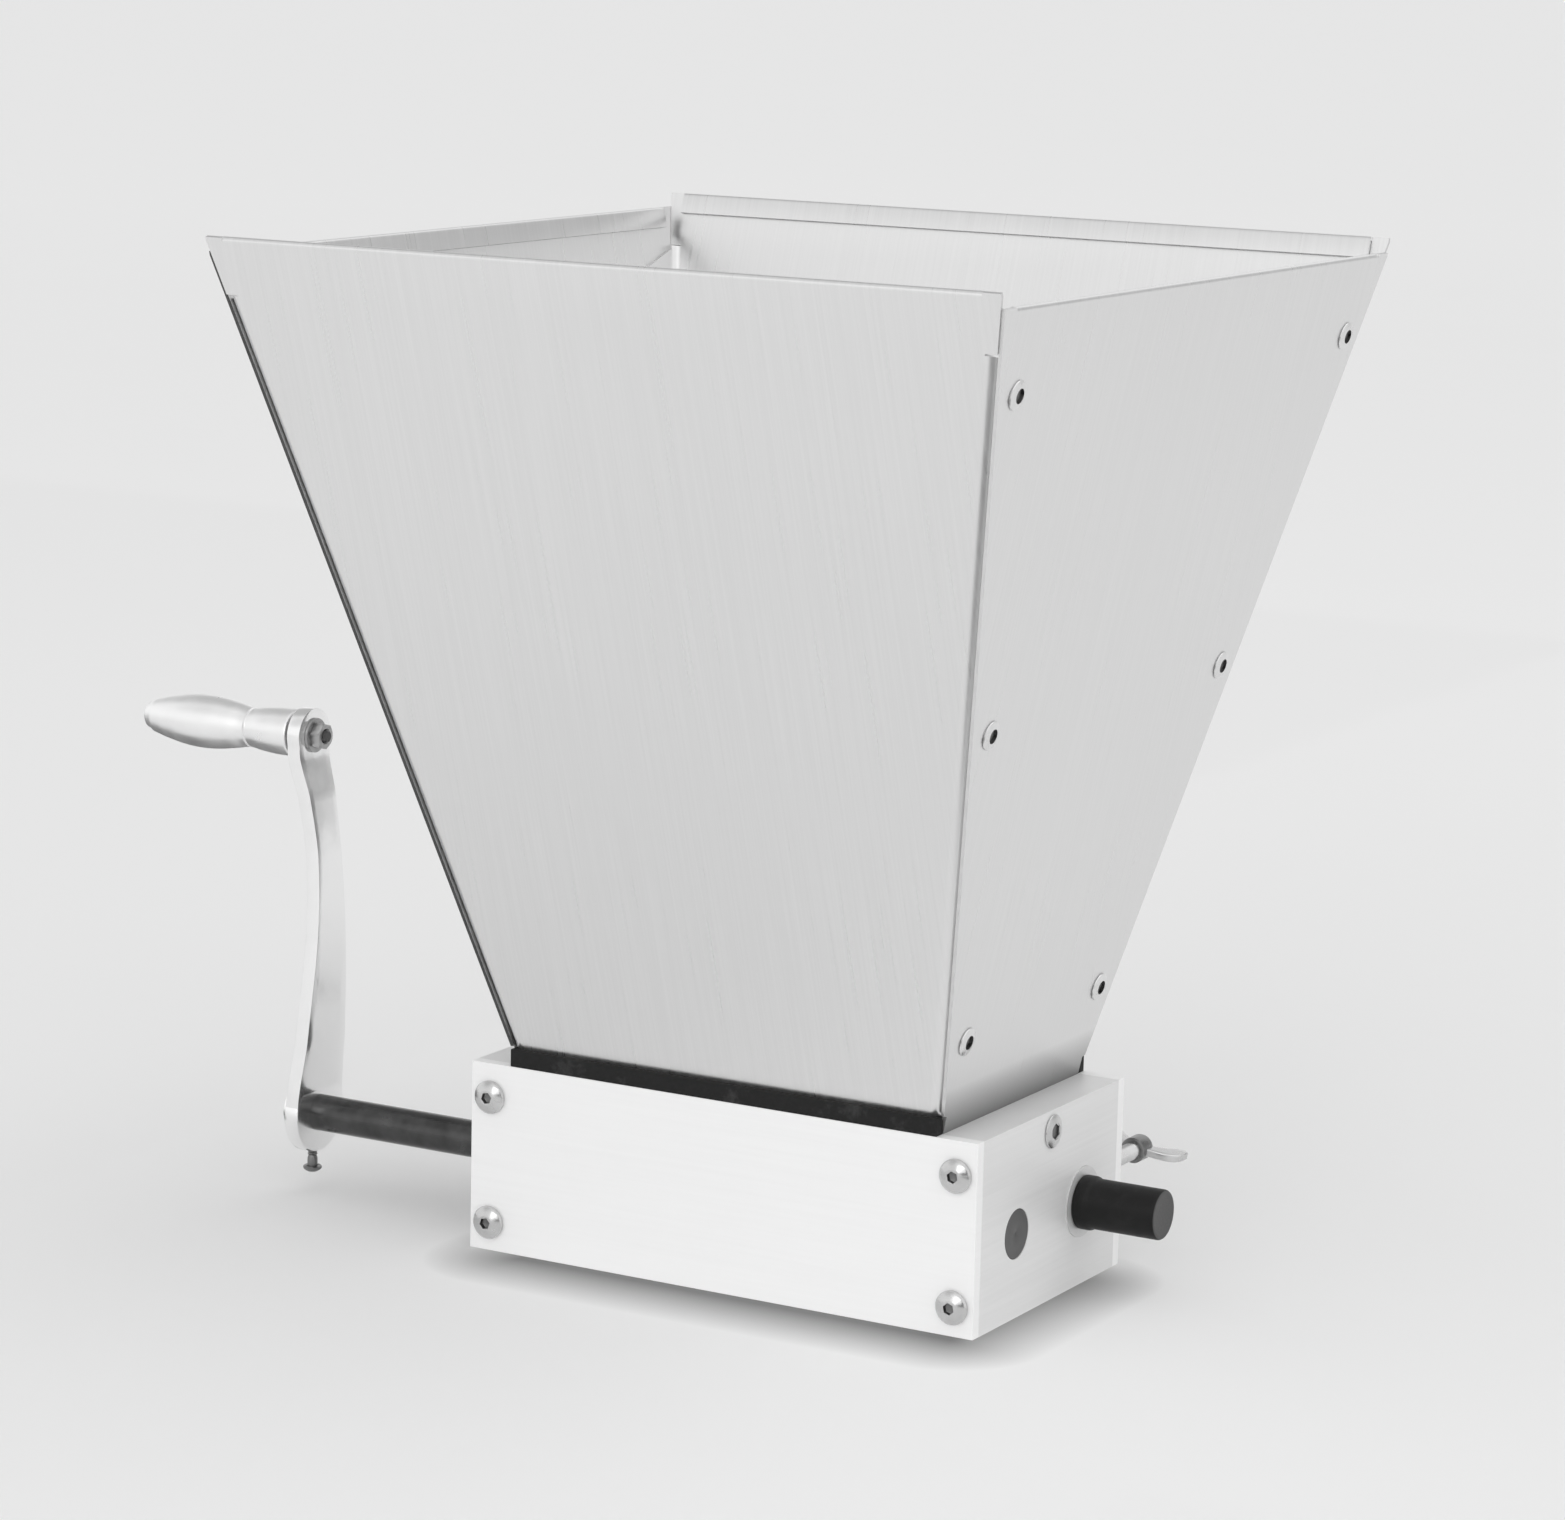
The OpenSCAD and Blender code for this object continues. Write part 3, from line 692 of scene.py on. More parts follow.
def thicken(bm):
    """Gives the skin its thickness; the new faces round the rim get the finish of a sheared edge."""
    bmesh.ops.solidify(bm, geom=bm.faces[:], thickness=SHEET)
    bm.normal_update()
    for face in bm.faces:
        shortest = min(e.calc_length() for e in face.edges)
        if abs(shortest - SHEET) < RIM_SLACK and all(
                abs(f.normal.dot(face.normal)) < 0.5 for e in face.edges if e.calc_length() > LONG_EDGE
                for f in e.link_faces if f is not face):
            face.material_index = 1


def long_panel():
    """The front panel, in millimetres; the rear one is its mirror image."""
    lean = LEAN_FRONT
    outward = Vector((0, -math.cos(lean), -math.sin(lean)))
    slant = Vector((0, -math.sin(lean), math.cos(lean)))
    top = FRONT_TOP - HEM_R - HEM_R * math.sin(lean)
    heights = [FRONT_FOOT, RELIEF_TOP, RELIEF_TOP + RELIEF_CUT, top]
    bm, points = grid_of(4, 7)
    for (row, column), point in points.items():
        z = heights[row]
        corner = side_x(z) - SIDE_T
        inside = [0.0, corner - BEND - 1.8, corner - BEND - 0.1, corner]
        x = math.copysign(inside[abs(column - 3)], column - 3)
        point.co = (x, -front_y(z), z)
    flanges = [edge_between(bm, points[0, c], points[1, c]) for c in (0, 6)]
    hems = [edge_between(bm, points[3, c], points[3, c + 1]) for c in (2, 3)]
    tabs = [edge_between(bm, points[3, c], points[3, c + 1]) for c in (0, 1, 4, 5)]
    reliefs = [f for f in bm.faces
               if {v.co.z for v in f.verts} == {points[1, 0].co.z, points[2, 0].co.z}
               and max(abs(v.co.x) for v in f.verts) > side_x(RELIEF_TOP) - SIDE_T - 0.5]
    bmesh.ops.delete(bm, geom=reliefs, context="FACES")
    for point in pull(bm, flanges, Vector((0, FLANGE, 0))):
        if point.co.z > RELIEF_TOP - 1:
            point.co.z -= FLANGE_DROP
            side = math.copysign(1, point.co.x)
            point.co.x = side * (side_x(point.co.z) - SIDE_T)
    bmesh.ops.bevel(bm, geom=flanges, offset=BEND, offset_type="OFFSET", affect="EDGES",
                    segments=BEND_STEPS, profile=0.5, material=-1)
    centre = Vector((0, -front_y(top), top)) - outward * HEM_R
    pull(bm, tabs, slant * ((FRONT_TOP - top) / math.cos(lean) - SHEET * math.tan(lean) - 0.05))
    fold_hem(bm, hems, centre, (1, 0, 0), -slant, HEM - HEM_R - 0.3)
    face_outward(bm, outward)
    thicken(bm)
    return bm


for side, mirror in (("front", AS_IT_IS), ("rear", MIRROR_Y)):
    keep(place_all(long_panel(), mirror), side + "_panel_sheet", [sheet_long, sheared], "mill_body",
         [side + "_hopper_panel"])

# %% [markdown]
# ## The hopper's side panels
# A side panel overlaps the flanges of the long panels from outside. Its foot steps in beside the
# rubber strips and ends in a tongue, which slips behind the end plate and is screwed to it. The same
# grid, hem and thickness make it, with one more row of points for each change in its outline.

# %% Side panel
TONGUE = 12.0
TONGUE_HALF = INNER_Y - 2.5
FOOT_HALF = INNER_Y - 0.2
EDGE_IN = 0.5


def side_panel():
    """The right panel, in millimetres; the left one is its mirror image."""
    lean = LEAN_SIDE
    outward = Vector((math.cos(lean), 0, -math.sin(lean)))
    slant = Vector((math.sin(lean), 0, math.cos(lean)))
    top = SIDE_TOP - HEM_R - HEM_R * math.sin(lean)
    step = FRONT_FOOT + 0.3
    rows = [(BODY_TOP - TONGUE, TONGUE_HALF), (BODY_TOP - 0.3, TONGUE_HALF), (BODY_TOP, FOOT_HALF),
            (FRONT_FOOT, FOOT_HALF), (step, front_y(step) - EDGE_IN), (top, front_y(top) - EDGE_IN)]
    bm, points = grid_of(len(rows), 5)
    for (row, column), point in points.items():
        z, half = rows[row]
        y = math.copysign([0.0, half - 6.2, half][abs(column - 2)], column - 2)
        point.co = (max(side_x(z), INNER_X), y, z)
    last = len(rows) - 1
    hems = [edge_between(bm, points[last, c], points[last, c + 1]) for c in (1, 2)]
    tabs = [edge_between(bm, points[last, c], points[last, c + 1]) for c in (0, 3)]
    centre = Vector((side_x(top), 0, top)) - outward * HEM_R
    pull(bm, tabs, slant * ((SIDE_TOP - top) / math.cos(lean) - SHEET * math.tan(lean) - 0.05))
    fold_hem(bm, hems, centre, (0, 1, 0), -slant, HEM - HEM_R - 0.3)
    face_outward(bm, outward)
    thicken(bm)
    return bm


# The left panel's rim gets the painted shade finish.
for side, mirror, rim in (("right", AS_IT_IS, sheared), ("left", MIRROR_X, left_edge_shade)):
    keep(place_all(side_panel(), mirror), side + "_panel_sheet", [sheet_side, rim], "mill_body",
         [side + "_hopper_panel"])

# %% [markdown]
# ## The body's plates and the rubber strips
# These solids have the right shape already, with all their holes. They only need a finish and the
# small rounding that a deburring tool leaves, because a perfectly sharp edge never catches the light.
# A Weld modifier joins the loose triangles first, a Decimate modifier makes one face out of each flat
# side, and then the Bevel modifier finds the real edges only.

# %% Dress the plates
def dress(node, finish, rounding=0.0):
    """Gives a CAD node its finish and, where asked, softly rounded edges (in millimetres)."""
    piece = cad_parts[node]
    for place in piece.material_slots:
        place.material = finish
    if rounding:
        weld = piece.modifiers.new("weld", "WELD")
        weld.merge_threshold = 0.002 * MM
        flat = piece.modifiers.new("flat_sides", "DECIMATE")
        flat.decimate_type = "DISSOLVE"
        flat.angle_limit = math.radians(1.0)
        edge = piece.modifiers.new("rounding", "BEVEL")
        edge.width = rounding * MM
        edge.segments = 2
        edge.limit_method = "ANGLE"
        edge.angle_limit = math.radians(40)
        edge.harden_normals = True


DRESSED = [("front_plate", plate_metal, 0.14), ("rear_plate", plate_metal, 0.14),
           ("left_end_plate", end_metal, 0.14), ("right_end_plate", end_metal, 0.14),
           ("front_rubber_strip", rubber, 0.2), ("rear_rubber_strip", rubber, 0.2),
           ("left_adjuster_bush", bush_steel_and_shade, 0.0), ("right_adjuster_bush", bush_steel_and_shade, 0.0)]
for node, finish, rounding in DRESSED:
    dress(node, finish, rounding)
print("dressed CAD nodes:", len(DRESSED))

# %% [markdown]
# ## Screws and nuts
# The mill is held together by button head screws with a hexagon socket. One function builds them all
# from loops: the thread's tip, the shank, the edge of the head, the dome and then the hexagon, which
# goes down into the head. The thread's ridges are plain rings, because only the last millimetre shows.
# The inside of a socket gets its own dark finish, a painted shade: hardly any light gets in.

# %% Screws
def thread(bm, radius, start, end, pitch=0.8, depth=0.3):
    """Rings for a threaded end, from start up to end."""
    loops = [ring(bm, radius - depth - 0.2, start)]
    z = start + 0.3
    while z + pitch < end:
        loops += [ring(bm, radius - depth, z), ring(bm, radius, z + pitch * 0.5)]
        z += pitch
    return loops + [ring(bm, radius - depth, z)]


def socket_screw(head_r, head_h, key_r, shank_r, length, threads=3.0):
    """A button head screw: head above z = 0, shank below."""
    bm = bmesh.new()
    sag = head_h * 0.6
    ball = (head_r ** 2 + sag ** 2) / (2 * sag)

    def dome(radius):
        return head_h - ball + math.sqrt(ball ** 2 - radius ** 2)

    tip = thread(bm, shank_r, -length, -length + threads)
    shank = [ring(bm, shank_r, -length + threads + 0.2), ring(bm, shank_r, 0.0)]
    edge = [ring(bm, head_r - 0.3, 0.0), ring(bm, head_r, 0.25), ring(bm, head_r, dome(head_r) - 0.15)]
    rise = [ring(bm, head_r * s, dome(head_r * s)) for s in (0.965, 0.88, 0.76, 0.62, 0.5)]
    rise.append(ring(bm, key_r + 0.28, dome(key_r + 0.28)))
    mouth = hexagon(bm, key_r, dome(key_r) - 0.16)
    floor_loop = hexagon(bm, key_r, head_h * 0.36)
    pit = ring(bm, key_r * 0.35, head_h * 0.25)
    close_loop(bm, tip[0])
    bridge(bm, tip + shank + edge + rise + [mouth])
    before = set(bm.faces)
    bridge(bm, [mouth, floor_loop, pit])
    close_loop(bm, pit)
    # Painted shade: the inside of the socket gets the second, darker finish.
    for face in set(bm.faces) - before:
        face.material_index = 1
    settle(bm)
    return bm


def hex_nut(radius, height, bore):
    """A hexagon nut standing on z = 0, with its corners turned off on both faces."""
    bm = bmesh.new()
    flat = radius * math.cos(math.pi / 6) - 0.1
    loops = [ring(bm, bore, 0.3), ring(bm, bore + 0.3, 0.0), ring(bm, flat, 0.0),
             hexagon(bm, radius, 0.4), hexagon(bm, radius, height - 0.4),
             ring(bm, flat, height), ring(bm, bore + 0.3, height), ring(bm, bore, height - 0.3)]
    bridge(bm, loops + [loops[0]])
    settle(bm)
    return bm


screw_finish = [screw_steel, dark_screw]
PLATE_HEAD = (4.75, 2.75, 1.7)
PLATE_SHANK = 2.5
PLATE_SCREW_Z = [8.2, BODY_TOP - 9.6]
FIXING_Z = BODY_TOP - 6.0
plate_places = [at(x, -HALF_D, z) @ turn_x(90) @ spin_z
                for x, spin_z in ((-END_X, turn_z(12)), (END_X, turn_z(41))) for z in PLATE_SCREW_Z]
for side, mirror in (("front", AS_IT_IS), ("rear", MIRROR_Y)):
    screws = copies(socket_screw(*PLATE_HEAD, PLATE_SHANK, 16.0), [mirror @ place for place in plate_places])
    keep(screws, side + "_plate_bolts", screw_finish, "mill_body", [side + "_plate_screws"])

# %% [markdown]
# ## Screws of the hopper
# Three screws along each slanted edge hold a side panel to the flanges behind it, each with a nut
# inside. One more at each end goes through the end plate and the panel's tongue. In the photograph
# all of these have lower heads and wider sockets than the screws of the plates. Their places follow
# the panels' slopes, so they are worked out from the same leans.

# %% Screws of the hopper
PANEL_HEAD = (4.0, 1.2, 2.5)
PANEL_SHANK = 2.0
PANEL_NUT_H = 3.2
FIXING_HEAD = (4.75, 1.3, 2.3)
FIXING_NUT_H = 4.0
PANEL_SCREW_IN = 10.0
PANEL_SCREW_Z = [BODY_TOP + 26.0, BODY_TOP + 0.494 * (FRONT_TOP - BODY_TOP), FRONT_TOP - 26.6]


def panel_places(depth=0.0):
    """Places along the slanted edges of both side panels, with +Z out of the sheet."""
    right_side = [at(side_x(z), s * (front_y(z) - PANEL_SCREW_IN), z)
                  @ turn_y(90 + math.degrees(LEAN_SIDE)) @ turn_z(17 * i) @ at(0, 0, depth)
                  for i, (s, z) in enumerate((s, z) for s in (-1, 1) for z in PANEL_SCREW_Z)]
    return right_side + [MIRROR_X @ place for place in right_side]


def fixing_places(x):
    """Places on the X axis at both ends of the body, with +Z away from the middle."""
    return [mirror @ at(x, 0, FIXING_Z) @ turn_y(90) for mirror in (AS_IT_IS, MIRROR_X)]


panel_screws = copies(socket_screw(*PANEL_HEAD, PANEL_SHANK, 6.0, threads=1.4), panel_places())
keep(panel_screws, "panel_bolts", [panel_steel, dark_screw], "mill_body",
     ["hopper_panel_screws"])
panel_nuts = copies(hex_nut(4.04, PANEL_NUT_H, PANEL_SHANK), panel_places(-2 * SHEET - PANEL_NUT_H))
keep(panel_nuts, "panel_nuts", screw_steel, "mill_body", ["hopper_panel_nuts"])
fixing_length = HALF_W - INNER_X + SIDE_T + 4.8
fixing_screws = copies(socket_screw(*FIXING_HEAD, PLATE_SHANK, fixing_length), fixing_places(HALF_W))
keep(fixing_screws, "fixing_bolts", screw_finish, "mill_body", ["hopper_fixing_screws"])
fixing_nuts = copies(hex_nut(4.62, FIXING_NUT_H, PLATE_SHANK), fixing_places(INNER_X - SIDE_T - FIXING_NUT_H))
keep(fixing_nuts, "fixing_nuts", screw_steel, "mill_body", ["hopper_fixing_nuts"])

# %% [markdown]
# ## The shaft, its bushes and the rollers
# All of these come off a lathe, so a profile is spun round. The rollers are knurled: a tool with two
# crossing rows of grooves is pressed into the steel and leaves small diamonds that grip the grain. A
# bump map would vanish on the outline, so every second point of the spun wall is moved inwards, in a
# chequered order, which gives real diamonds for few faces.

# %% Shafts and bushes
ROLLER_R = 19.05
AXIS_Y = -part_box("drive_roller")[0].y / MM - ROLLER_R
AXIS_Z = (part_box("drive_roller")[0].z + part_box("drive_roller")[1].z) / 2 / MM
SHAFT_R = 5.3
IDLER_R = 5.0
shaft_low, shaft_high = (corner.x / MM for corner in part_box("drive_shaft"))
to_drive = at(0, -AXIS_Y, AXIS_Z) @ turn_y(90)


def bar_profile(radius, low, high, chamfer=0.5):
    """A round bar with chamfered ends."""
    return [(0, low), (radius - chamfer, low), (radius, low + chamfer),
            (radius, high - chamfer), (radius - chamfer, high), (0, high)]


drive_bar = place_all(turned(bar_profile(SHAFT_R, shaft_low, shaft_high, 0.6)), to_drive)
keep(drive_bar, "drive_bar", blackened, "crank", ["drive_shaft"])
idler_z = (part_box("idler_roller")[0].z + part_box("idler_roller")[1].z) / 2 / MM
idler_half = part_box("idler_shaft")[1].x / MM
to_idler = at(0, AXIS_Y, idler_z) @ turn_y(90)
idler_bar = place_all(turned(bar_profile(IDLER_R, -idler_half, idler_half)), to_idler)
keep(idler_bar, "idler_bar", blackened, "idler", ["idler_shaft"])

BUSH_R = 7.0
open_bush = [(SHAFT_R + 0.1, INNER_X - 1.0), (8.8, INNER_X - 1.0), (9.0, INNER_X - 0.8),
             (9.0, INNER_X - 0.05), (BUSH_R, INNER_X - 0.05), (BUSH_R, HALF_W - 0.35),
             (BUSH_R - 0.3, HALF_W - 0.05), (SHAFT_R + 0.3, HALF_W - 0.05),
             (SHAFT_R + 0.1, HALF_W - 0.3), (SHAFT_R + 0.1, INNER_X - 1.0)]
closed_bush = open_bush[:6] + [(BUSH_R - 0.35, HALF_W - 0.02), (4.0, HALF_W - 0.12), (0.9, HALF_W - 0.16),
                               (0.0, HALF_W - 0.6), (0.0, HALF_W - 3.0), (SHAFT_R + 0.1, HALF_W - 3.0),
                               (SHAFT_R + 0.1, INNER_X - 1.0)]
for side, mirror, profile in (("right", AS_IT_IS, closed_bush), ("left", MIRROR_X, open_bush)):
    keep(place_all(turned(profile), mirror @ to_drive), side + "_shaft_bush", dark_bush, "mill_body",
         [side + "_drive_bush"])

# %% Knurled rollers
ROLLER_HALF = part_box("drive_roller")[1].x / MM
KNURL_ROWS = 88
KNURL_SIDES = 76
KNURL_DEPTH = 0.45


def knurled_roller(bore):
    """A roller along Z: a knurled wall, chamfered ends and a bore."""
    step = 2 * (ROLLER_HALF - 1.0) / KNURL_ROWS
    wall = [(ROLLER_R, -ROLLER_HALF + 1.0 + i * step) for i in range(KNURL_ROWS + 1)]
    ends = [(bore, -ROLLER_HALF), (ROLLER_R - 1.4, -ROLLER_HALF), (ROLLER_R - 0.6, -ROLLER_HALF + 0.6)]
    profile = ends + wall + [(r, -z) for r, z in reversed(ends)] + [(bore, -ROLLER_HALF)]
    bm = turned(profile, KNURL_SIDES)
    for point in bm.verts:
        radius = math.hypot(point.co.x, point.co.y)
        if radius < ROLLER_R - 0.01:
            continue
        side = round(math.atan2(point.co.y, point.co.x) / math.tau * KNURL_SIDES)
        row = round((point.co.z + ROLLER_HALF - 1.0) / step)
        if (side + row) % 2:
            point.co.x *= 1 - KNURL_DEPTH / ROLLER_R
            point.co.y *= 1 - KNURL_DEPTH / ROLLER_R
    return bm


for role, bore, place, body in (("drive", SHAFT_R, to_drive, "crank"), ("idler", IDLER_R, to_idler, "idler")):
    keep(place_all(knurled_roller(bore), place), role + "_knurled_roller", roller_steel, body,
         [role + "_roller"])

# %% [markdown]
# ## The crank
# The crank arm is a flat bar that narrows towards the handle and bows gently, polished all over. A
# grid is laid along it: each row of points is moved to the bar's half width and bow at that height.
# A smooth curve through a few measured points gives both. The grid is then made as thick as the bar
# and its edges are rounded, which gives the narrow bright line along its front.

# %% Curve through points
def smooth_curve(keys, share):
    """The value at share on a smooth curve through keys of (share, value)."""
    spot = max(i for i in range(len(keys) - 1) if i == 0 or keys[i][0] <= share)
    before, start = keys[max(spot - 1, 0)][1], keys[spot][1]
    end, after = keys[spot + 1][1], keys[min(spot + 2, len(keys) - 1)][1]
    t = (share - keys[spot][0]) / (keys[spot + 1][0] - keys[spot][0])
    return 0.5 * (2 * start + (end - before) * t + (2 * before - 5 * start + 4 * end - after) * t * t
                  + (3 * start - before - 3 * end + after) * t ** 3)


print("curve halfway between 0 and 1:", smooth_curve([(0, 0.0), (1, 1.0)], 0.5))

# %% Crank arm
ARM_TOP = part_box("crank_arm")[1].z / MM
HUB_T = 5.0
HUB_BOSS_T = 8.0
ARM_X = shaft_low + HUB_BOSS_T
ARM_T = 4.2
ARM_DROP = 3.0
ARM_TOP_R = 7.8
HANDLE_Z = ARM_TOP - ARM_TOP_R
CRANK_R = HANDLE_Z - AXIS_Z
HALF_WIDTH = [(0, 11.4), (0.16, 9.9), (0.33, 8.4), (0.5, 6.8), (0.7, 5.8), (0.85, 6.4), (1, 7.6)]
BOW = [(0, -0.12), (0.06, -0.05), (0.2, 1.8), (0.48, 3.5), (0.69, 2.7), (0.85, 0), (0.953, -3.0),
       (1.08, -3.0)]
ARM_ROWS = 56
CAP_ROWS = 14


def arm_row(row):
    """(share along the arm, half width) of a row of points."""
    if row <= ARM_ROWS:
        share = 0.968 * row / ARM_ROWS
        return share, smooth_curve(HALF_WIDTH, share)
    angle = math.radians(-28 + 114 * (row - ARM_ROWS) / CAP_ROWS)
    return 1 + ARM_TOP_R * math.sin(angle) / CRANK_R, ARM_TOP_R * math.cos(angle)


def crank_bar():
    """The bowed bar, in millimetres, in the mill's own place."""
    bm, points = grid_of(ARM_ROWS + CAP_ROWS + 1, 7)
    for (row, column), point in points.items():
        share, half = arm_row(row)
        across = (column - 3) / 3
        bow = max(smooth_curve(BOW, share), -ARM_DROP)
        point.co = (ARM_X + bow, across * half - AXIS_Y, AXIS_Z + share * CRANK_R)
    face_outward(bm, Vector((1, 0, 0)))
    bmesh.ops.solidify(bm, geom=bm.faces[:], thickness=ARM_T)
    bmesh.ops.recalc_face_normals(bm, faces=bm.faces)
    soften(bm, 0.8, 3, 50.0)
    return bm


to_arm = at(ARM_X, -AXIS_Y, AXIS_Z) @ turn_y(-90)
hub_profile = [(SHAFT_R + 0.05, 0.06), (11.0, 0.06), (11.45, 0.2), (11.7, 0.7), (11.7, 4.3), (11.45, 4.8),
               (11.0, HUB_T), (8.5, HUB_T), (8.0, HUB_T + 0.5), (8.0, 7.2), (7.75, 7.75), (7.2, HUB_BOSS_T),
               (SHAFT_R + 0.3, HUB_BOSS_T), (SHAFT_R + 0.05, 7.7), (SHAFT_R + 0.05, 0.06)]
arm = crank_bar()
join(arm, place_all(turned(hub_profile, 72), to_arm))
keep(arm, "crank_bar_and_hub", polished, "crank", ["crank_arm"])

# %% [markdown]
# ## The handle
# The grip is turned from one bar: a short collar next to the arm, a thin groove, a neck and a belly.
# It turns freely on a long bolt, whose head sits in a recess at the grip's end. On the inner side of
# the arm a washer and a nut hold the bolt.

# %% Grip
GRIP_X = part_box("handle_grip")[1].x / MM
GRIP_LEN = GRIP_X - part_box("handle_grip")[0].x / MM
GRIP_R = 7.8
GRIP_SHAPE = [(0.01, 0.885), (0.12, 0.872), (0.21, 0.82), (0.3, 0.74), (0.4, 0.85), (0.52, 0.968),
              (0.62, 1), (0.73, 0.955), (0.87, 0.79), (0.95, 0.65), (0.985, 0.526)]
GROOVE = 15.5
GROOVE_HALF = 0.45
RECESS_R = 3.7
BOLT_HOLE_R = 2.6


def grip_radius(height):
    """Radius of the grip, with a thin groove behind its collar."""
    plain = GRIP_R * smooth_curve(GRIP_SHAPE, min(max(height / GRIP_LEN, 0.01), 0.985))
    return plain - 0.35 * max(0.0, 1 - abs(height - GROOVE) / GROOVE_HALF)


heights = [0.6 + i * (GRIP_LEN - 1.5) / 60 for i in range(61)]
heights = sorted(heights + [GROOVE - GROOVE_HALF, GROOVE, GROOVE + GROOVE_HALF])
recess = GRIP_LEN - 4.8
grip_profile = [(BOLT_HOLE_R, 0.0), (6.3, 0.0), (6.75, 0.2)] + [(grip_radius(h), h) for h in heights]
grip_profile += [(3.95, GRIP_LEN - 0.25), (RECESS_R, GRIP_LEN), (RECESS_R, recess), (BOLT_HOLE_R, recess),
                 (BOLT_HOLE_R, 0.0)]
to_grip = at(GRIP_X, -AXIS_Y, HANDLE_Z) @ turn_y(-90)
grip = place_all(turned(grip_profile, 72), to_grip)
keep(grip, "turned_grip", satin, "handle", ["handle_grip"])

# %% Bolt, washer and nut of the handle
ARM_TOP_X = ARM_X - ARM_DROP
WASHER = 0.8
NUT_H = 3.2
bolt_low, bolt_high = (corner.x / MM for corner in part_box("handle_bolt"))


def handle_bolt():
    """The shoulder bolt along +X: its head is at z = 0, the thread's end at the top."""
    length = bolt_high - bolt_low
    bm = bmesh.new()
    shoulder = ARM_TOP_X - ARM_T - bolt_low
    pit = [ring(bm, 0.5, 1.7), hexagon(bm, 1.7, 1.5), hexagon(bm, 1.7, 0.15)]
    head = [ring(bm, 2.1, 0.0), ring(bm, 3.15, 0.0), ring(bm, 3.5, 0.35), ring(bm, 3.5, 4.0)]
    stem = [ring(bm, 2.5, 4.0), ring(bm, 2.5, shoulder), ring(bm, 2.0, shoulder)]
    ridges = ((2.0, 1.9), (1.75, 1.6), (2.0, 1.2), (1.75, 0.85), (2.0, 0.5), (1.5, 0.0))
    end = [ring(bm, radius, length - below) for radius, below in ridges]
    bridge(bm, pit + head + stem + end)
    close_loop(bm, pit[0])
    close_loop(bm, end[-1])
    settle(bm)
    return bm


bolt = place_all(handle_bolt(), at(bolt_low, -AXIS_Y, HANDLE_Z) @ turn_y(90))
keep(bolt, "handle_shoulder_bolt", blackened, "crank", ["handle_bolt"])
washer_profile = [(2.1, 0.1), (2.2, 0.0), (4.8, 0.0), (5.0, 0.15), (5.0, 0.65), (4.8, WASHER), (2.2, WASHER),
                  (2.1, 0.7), (2.1, 0.1)]
washer = place_all(turned(washer_profile, 48), at(ARM_TOP_X, -AXIS_Y, HANDLE_Z) @ turn_y(90))
keep(washer, "handle_plain_washer", dull_steel, "crank", ["handle_washer"])
to_nut = at(ARM_TOP_X + WASHER, -AXIS_Y, HANDLE_Z) @ turn_y(90) @ turn_z(14)
nut = place_all(hex_nut(4.04, NUT_H, 2.0), to_nut)
keep(nut, "handle_hexagon_nut", dull_steel, "crank", ["handle_nut"])

# %% [markdown]
# ## The set screw
# A small blackened screw in the hub's lower side presses on the shaft, so that the crank can't slip.
# It is the same kind of screw as the others with other sizes, turned head down.

# %% Set screw of the crank
SET_HEAD_H = 2.0
set_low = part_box("crank_set_screw")[0].z / MM
set_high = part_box("crank_set_screw")[1].z / MM
set_screw = socket_screw(2.75, SET_HEAD_H, 1.15, 1.5, set_high - set_low - SET_HEAD_H, threads=9.0)
place_all(set_screw, at(ARM_X - 2.8, -AXIS_Y, set_low + SET_HEAD_H) @ turn_x(180))
# The inside of its socket gets the darker blackened finish, a painted shade.
keep(set_screw, "hub_set_screw", [dark_screw, blackened], "crank", ["crank_set_screw"])

# %% [markdown]
# ## The adjuster knobs
# Each knob is moulded black plastic on the stub of an eccentric bush. Its collar hides the bush's
# middle and its free end is a flat face with a rounded rim. The end face is a little lighter
# than the wall, so it gets its own finish, by the direction in which its faces look.

# %% Knobs
KNOB_START = HALF_W + 0.3
KNOB_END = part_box("right_adjuster_knob")[1].x / MM
KNOB_R = 7.05
COLLAR_R = 7.6
STUB_R = 3.95
STUB_END = KNOB_START + 12.0
knob_profile = [(0.0, STUB_END), (STUB_R, STUB_END), (STUB_R, KNOB_START), (7.1, KNOB_START),
                (7.5, KNOB_START + 0.2), (COLLAR_R, KNOB_START + 0.7), (COLLAR_R, KNOB_START + 3.1),
                (7.45, KNOB_START + 3.7), (7.15, KNOB_START + 4.1), (KNOB_R, KNOB_START + 4.8),
                (KNOB_R, KNOB_END - 1.0), (6.98, KNOB_END - 0.5), (6.75, KNOB_END - 0.15), (6.4, KNOB_END),
                (5.9, KNOB_END - 0.05), (0.8, KNOB_END - 0.12), (0.0, KNOB_END - 0.12)]


def knob():
    """A knob along Z, its end face in the second finish."""
    bm = turned(knob_profile, 72)
    for face in bm.faces:
        if face.normal.z > 0.9 and face.calc_center_median().z > KNOB_END - 1:
            face.material_index = 1
    return bm


to_adjuster = at(0, AXIS_Y, AXIS_Z) @ turn_y(90)
for side, mirror in (("right", AS_IT_IS), ("left", MIRROR_X)):
    keep(place_all(knob(), mirror @ to_adjuster), side + "_moulded_knob", [knob_plastic, knob_face],
         side + "_adjuster", [side + "_adjuster_knob"])

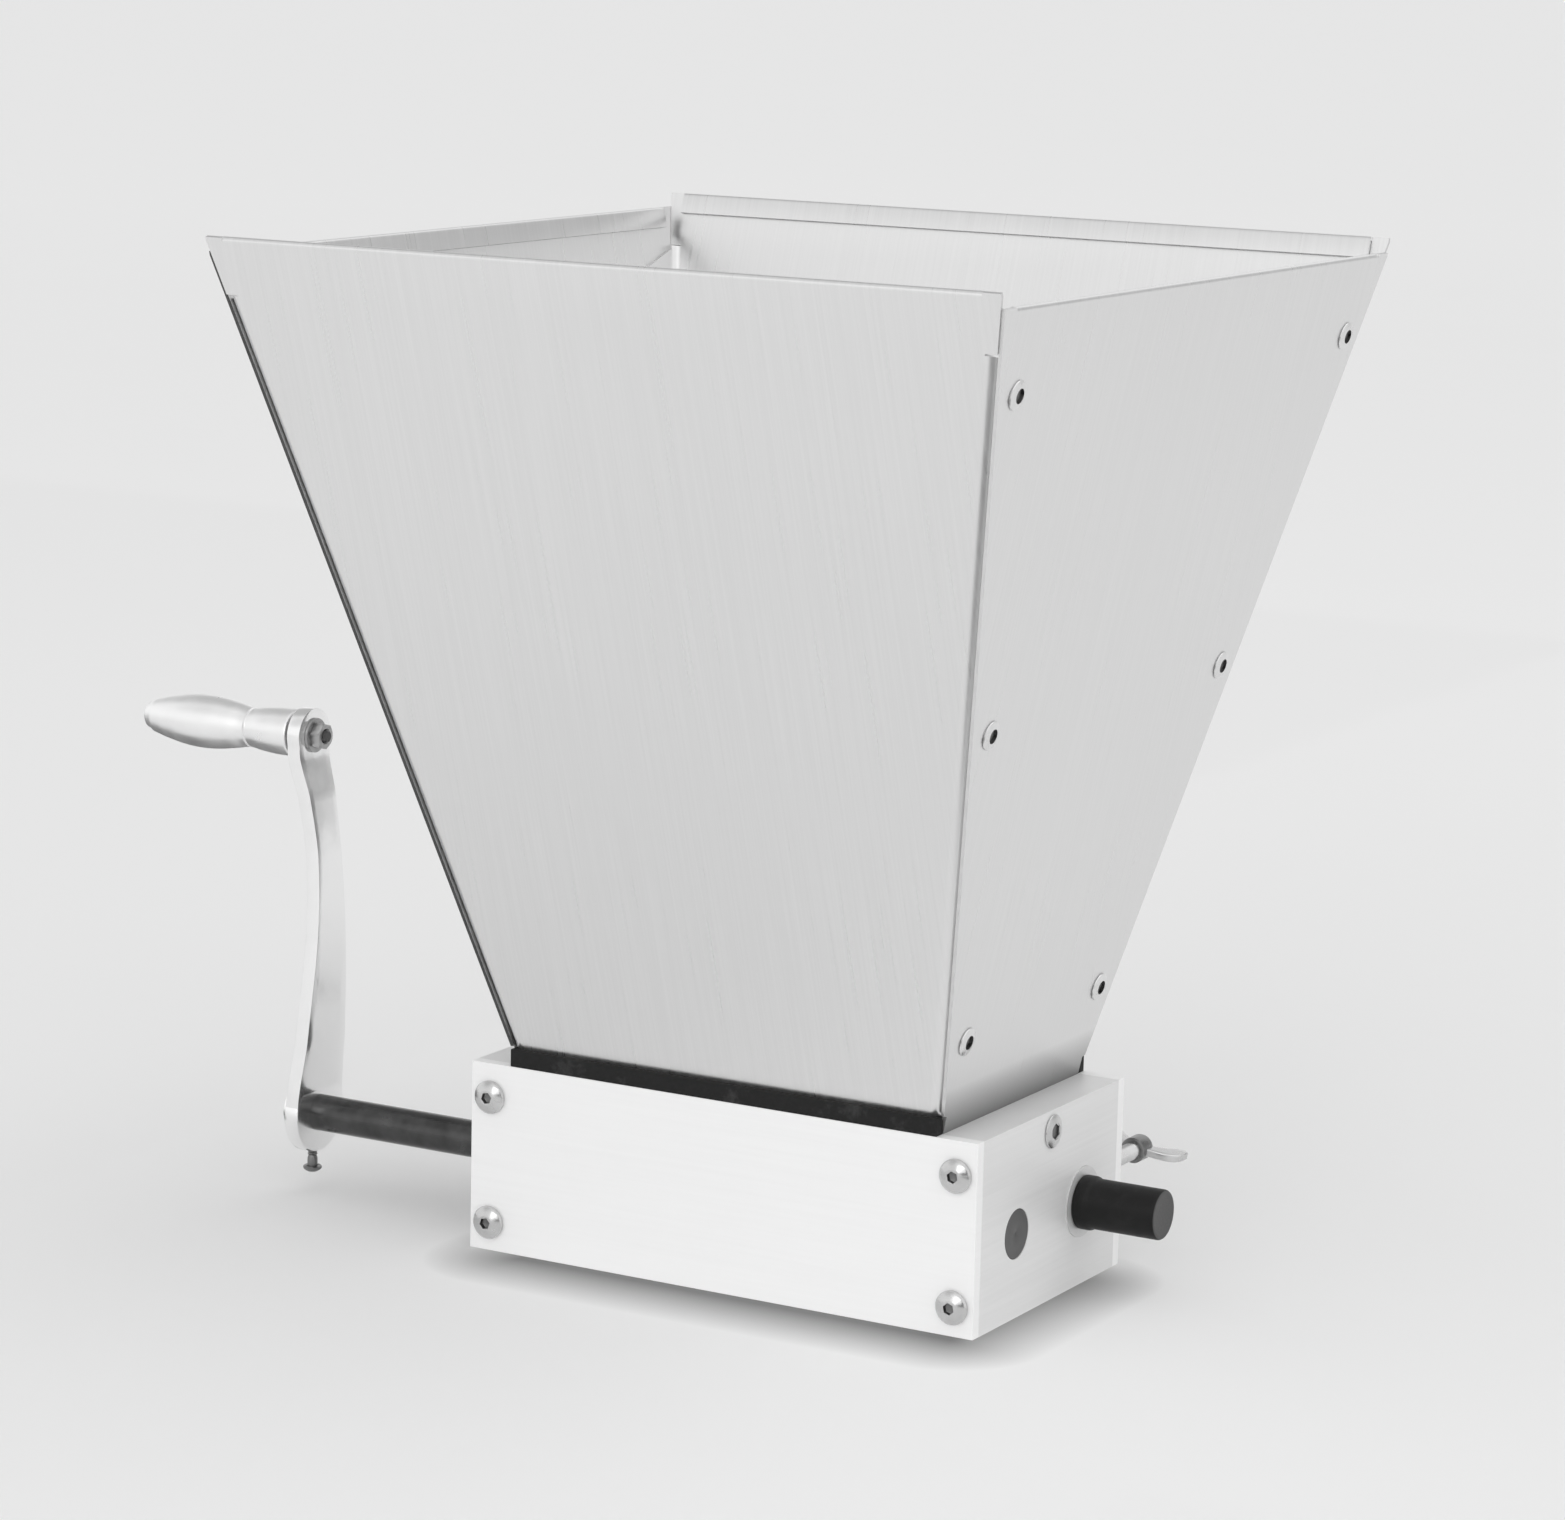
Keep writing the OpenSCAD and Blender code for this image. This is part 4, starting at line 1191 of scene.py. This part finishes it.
# %% [markdown]
# ## The wing screws
# Behind each end plate a wing screw locks the adjuster. Its hub is a short turned piece, drawn dark
# as a painted dark reflection, and its two wings are flat, rounded ears. Half an ear is a small grid
# moved onto the ear's outline, made thick and rounded, and then mirrored for the other side.

# %% Wing screw
WING_Z = AXIS_Z + 3.7
WING_Y = HALF_D + 20.0
WING_SPAN = 12.4
WING_T = 2.2
WING_LOW = [(0, 1.4), (0.25, 2.1), (0.5, 2.7), (0.75, 3.6), (0.92, 5.4), (1.0, 8.2)]
WING_HIGH = [(0, 6.0), (0.25, 6.9), (0.5, 8.6), (0.75, 11.4), (0.92, 12.4), (1.0, 11.2)]
WING_PITCH = 0.8
SCREW_TIP = AXIS_Y + 10.5


def ear():
    """One wing in the XZ plane: along +X, with Z as the screw's axis."""
    bm, points = grid_of(5, 15)
    for (row, column), point in points.items():
        share = column / 14
        low, high = smooth_curve(WING_LOW, share), smooth_curve(WING_HIGH, share)
        point.co = (share * WING_SPAN, 0, low + (high - low) * row / 4)
    face_outward(bm, Vector((0, 1, 0)))
    bmesh.ops.translate(bm, verts=bm.verts, vec=(0, WING_T / 2, 0))
    bmesh.ops.solidify(bm, geom=bm.faces[:], thickness=WING_T)
    bmesh.ops.recalc_face_normals(bm, faces=bm.faces)
    soften(bm, 0.7, 3, 50.0)
    return bm


def wing_screw():
    """A wing screw along Z: tip at the bottom, z = 0 where the hub begins."""
    tip = SCREW_TIP - WING_Y
    profile = [(0.0, tip), (1.9, tip), (2.3, tip + 0.4)]
    z = tip + WING_PITCH
    while z < -1.2:
        profile += [(2.5, z), (2.2, z + WING_PITCH / 2)]
        z += WING_PITCH
    hub = [(3.3, 0.0), (3.7, 0.4), (3.7, 5.6), (3.4, 6.5), (2.6, 7.0), (0.0, 7.0)]
    profile += [(2.5, -0.4), (2.5, 0.0)] + hub
    bm = turned(profile, 48)
    # Painted dark reflection: the hub gets the dark screw finish.
    for face in bm.faces:
        if -0.1 < face.calc_center_median().z:
            face.material_index = 1
    ears = copies(ear(), [AS_IT_IS, turn_z(180)])
    join(bm, ears)
    return bm


to_wing = at(END_X, WING_Y, WING_Z) @ turn_y(10) @ turn_x(-90)
for side, mirror in (("right", AS_IT_IS), ("left", MIRROR_X)):
    keep(place_all(wing_screw(), mirror @ to_wing), side + "_wing_bolt", [wing_plated, dark_screw],
         side + "_lock", [side + "_wing_screw"])
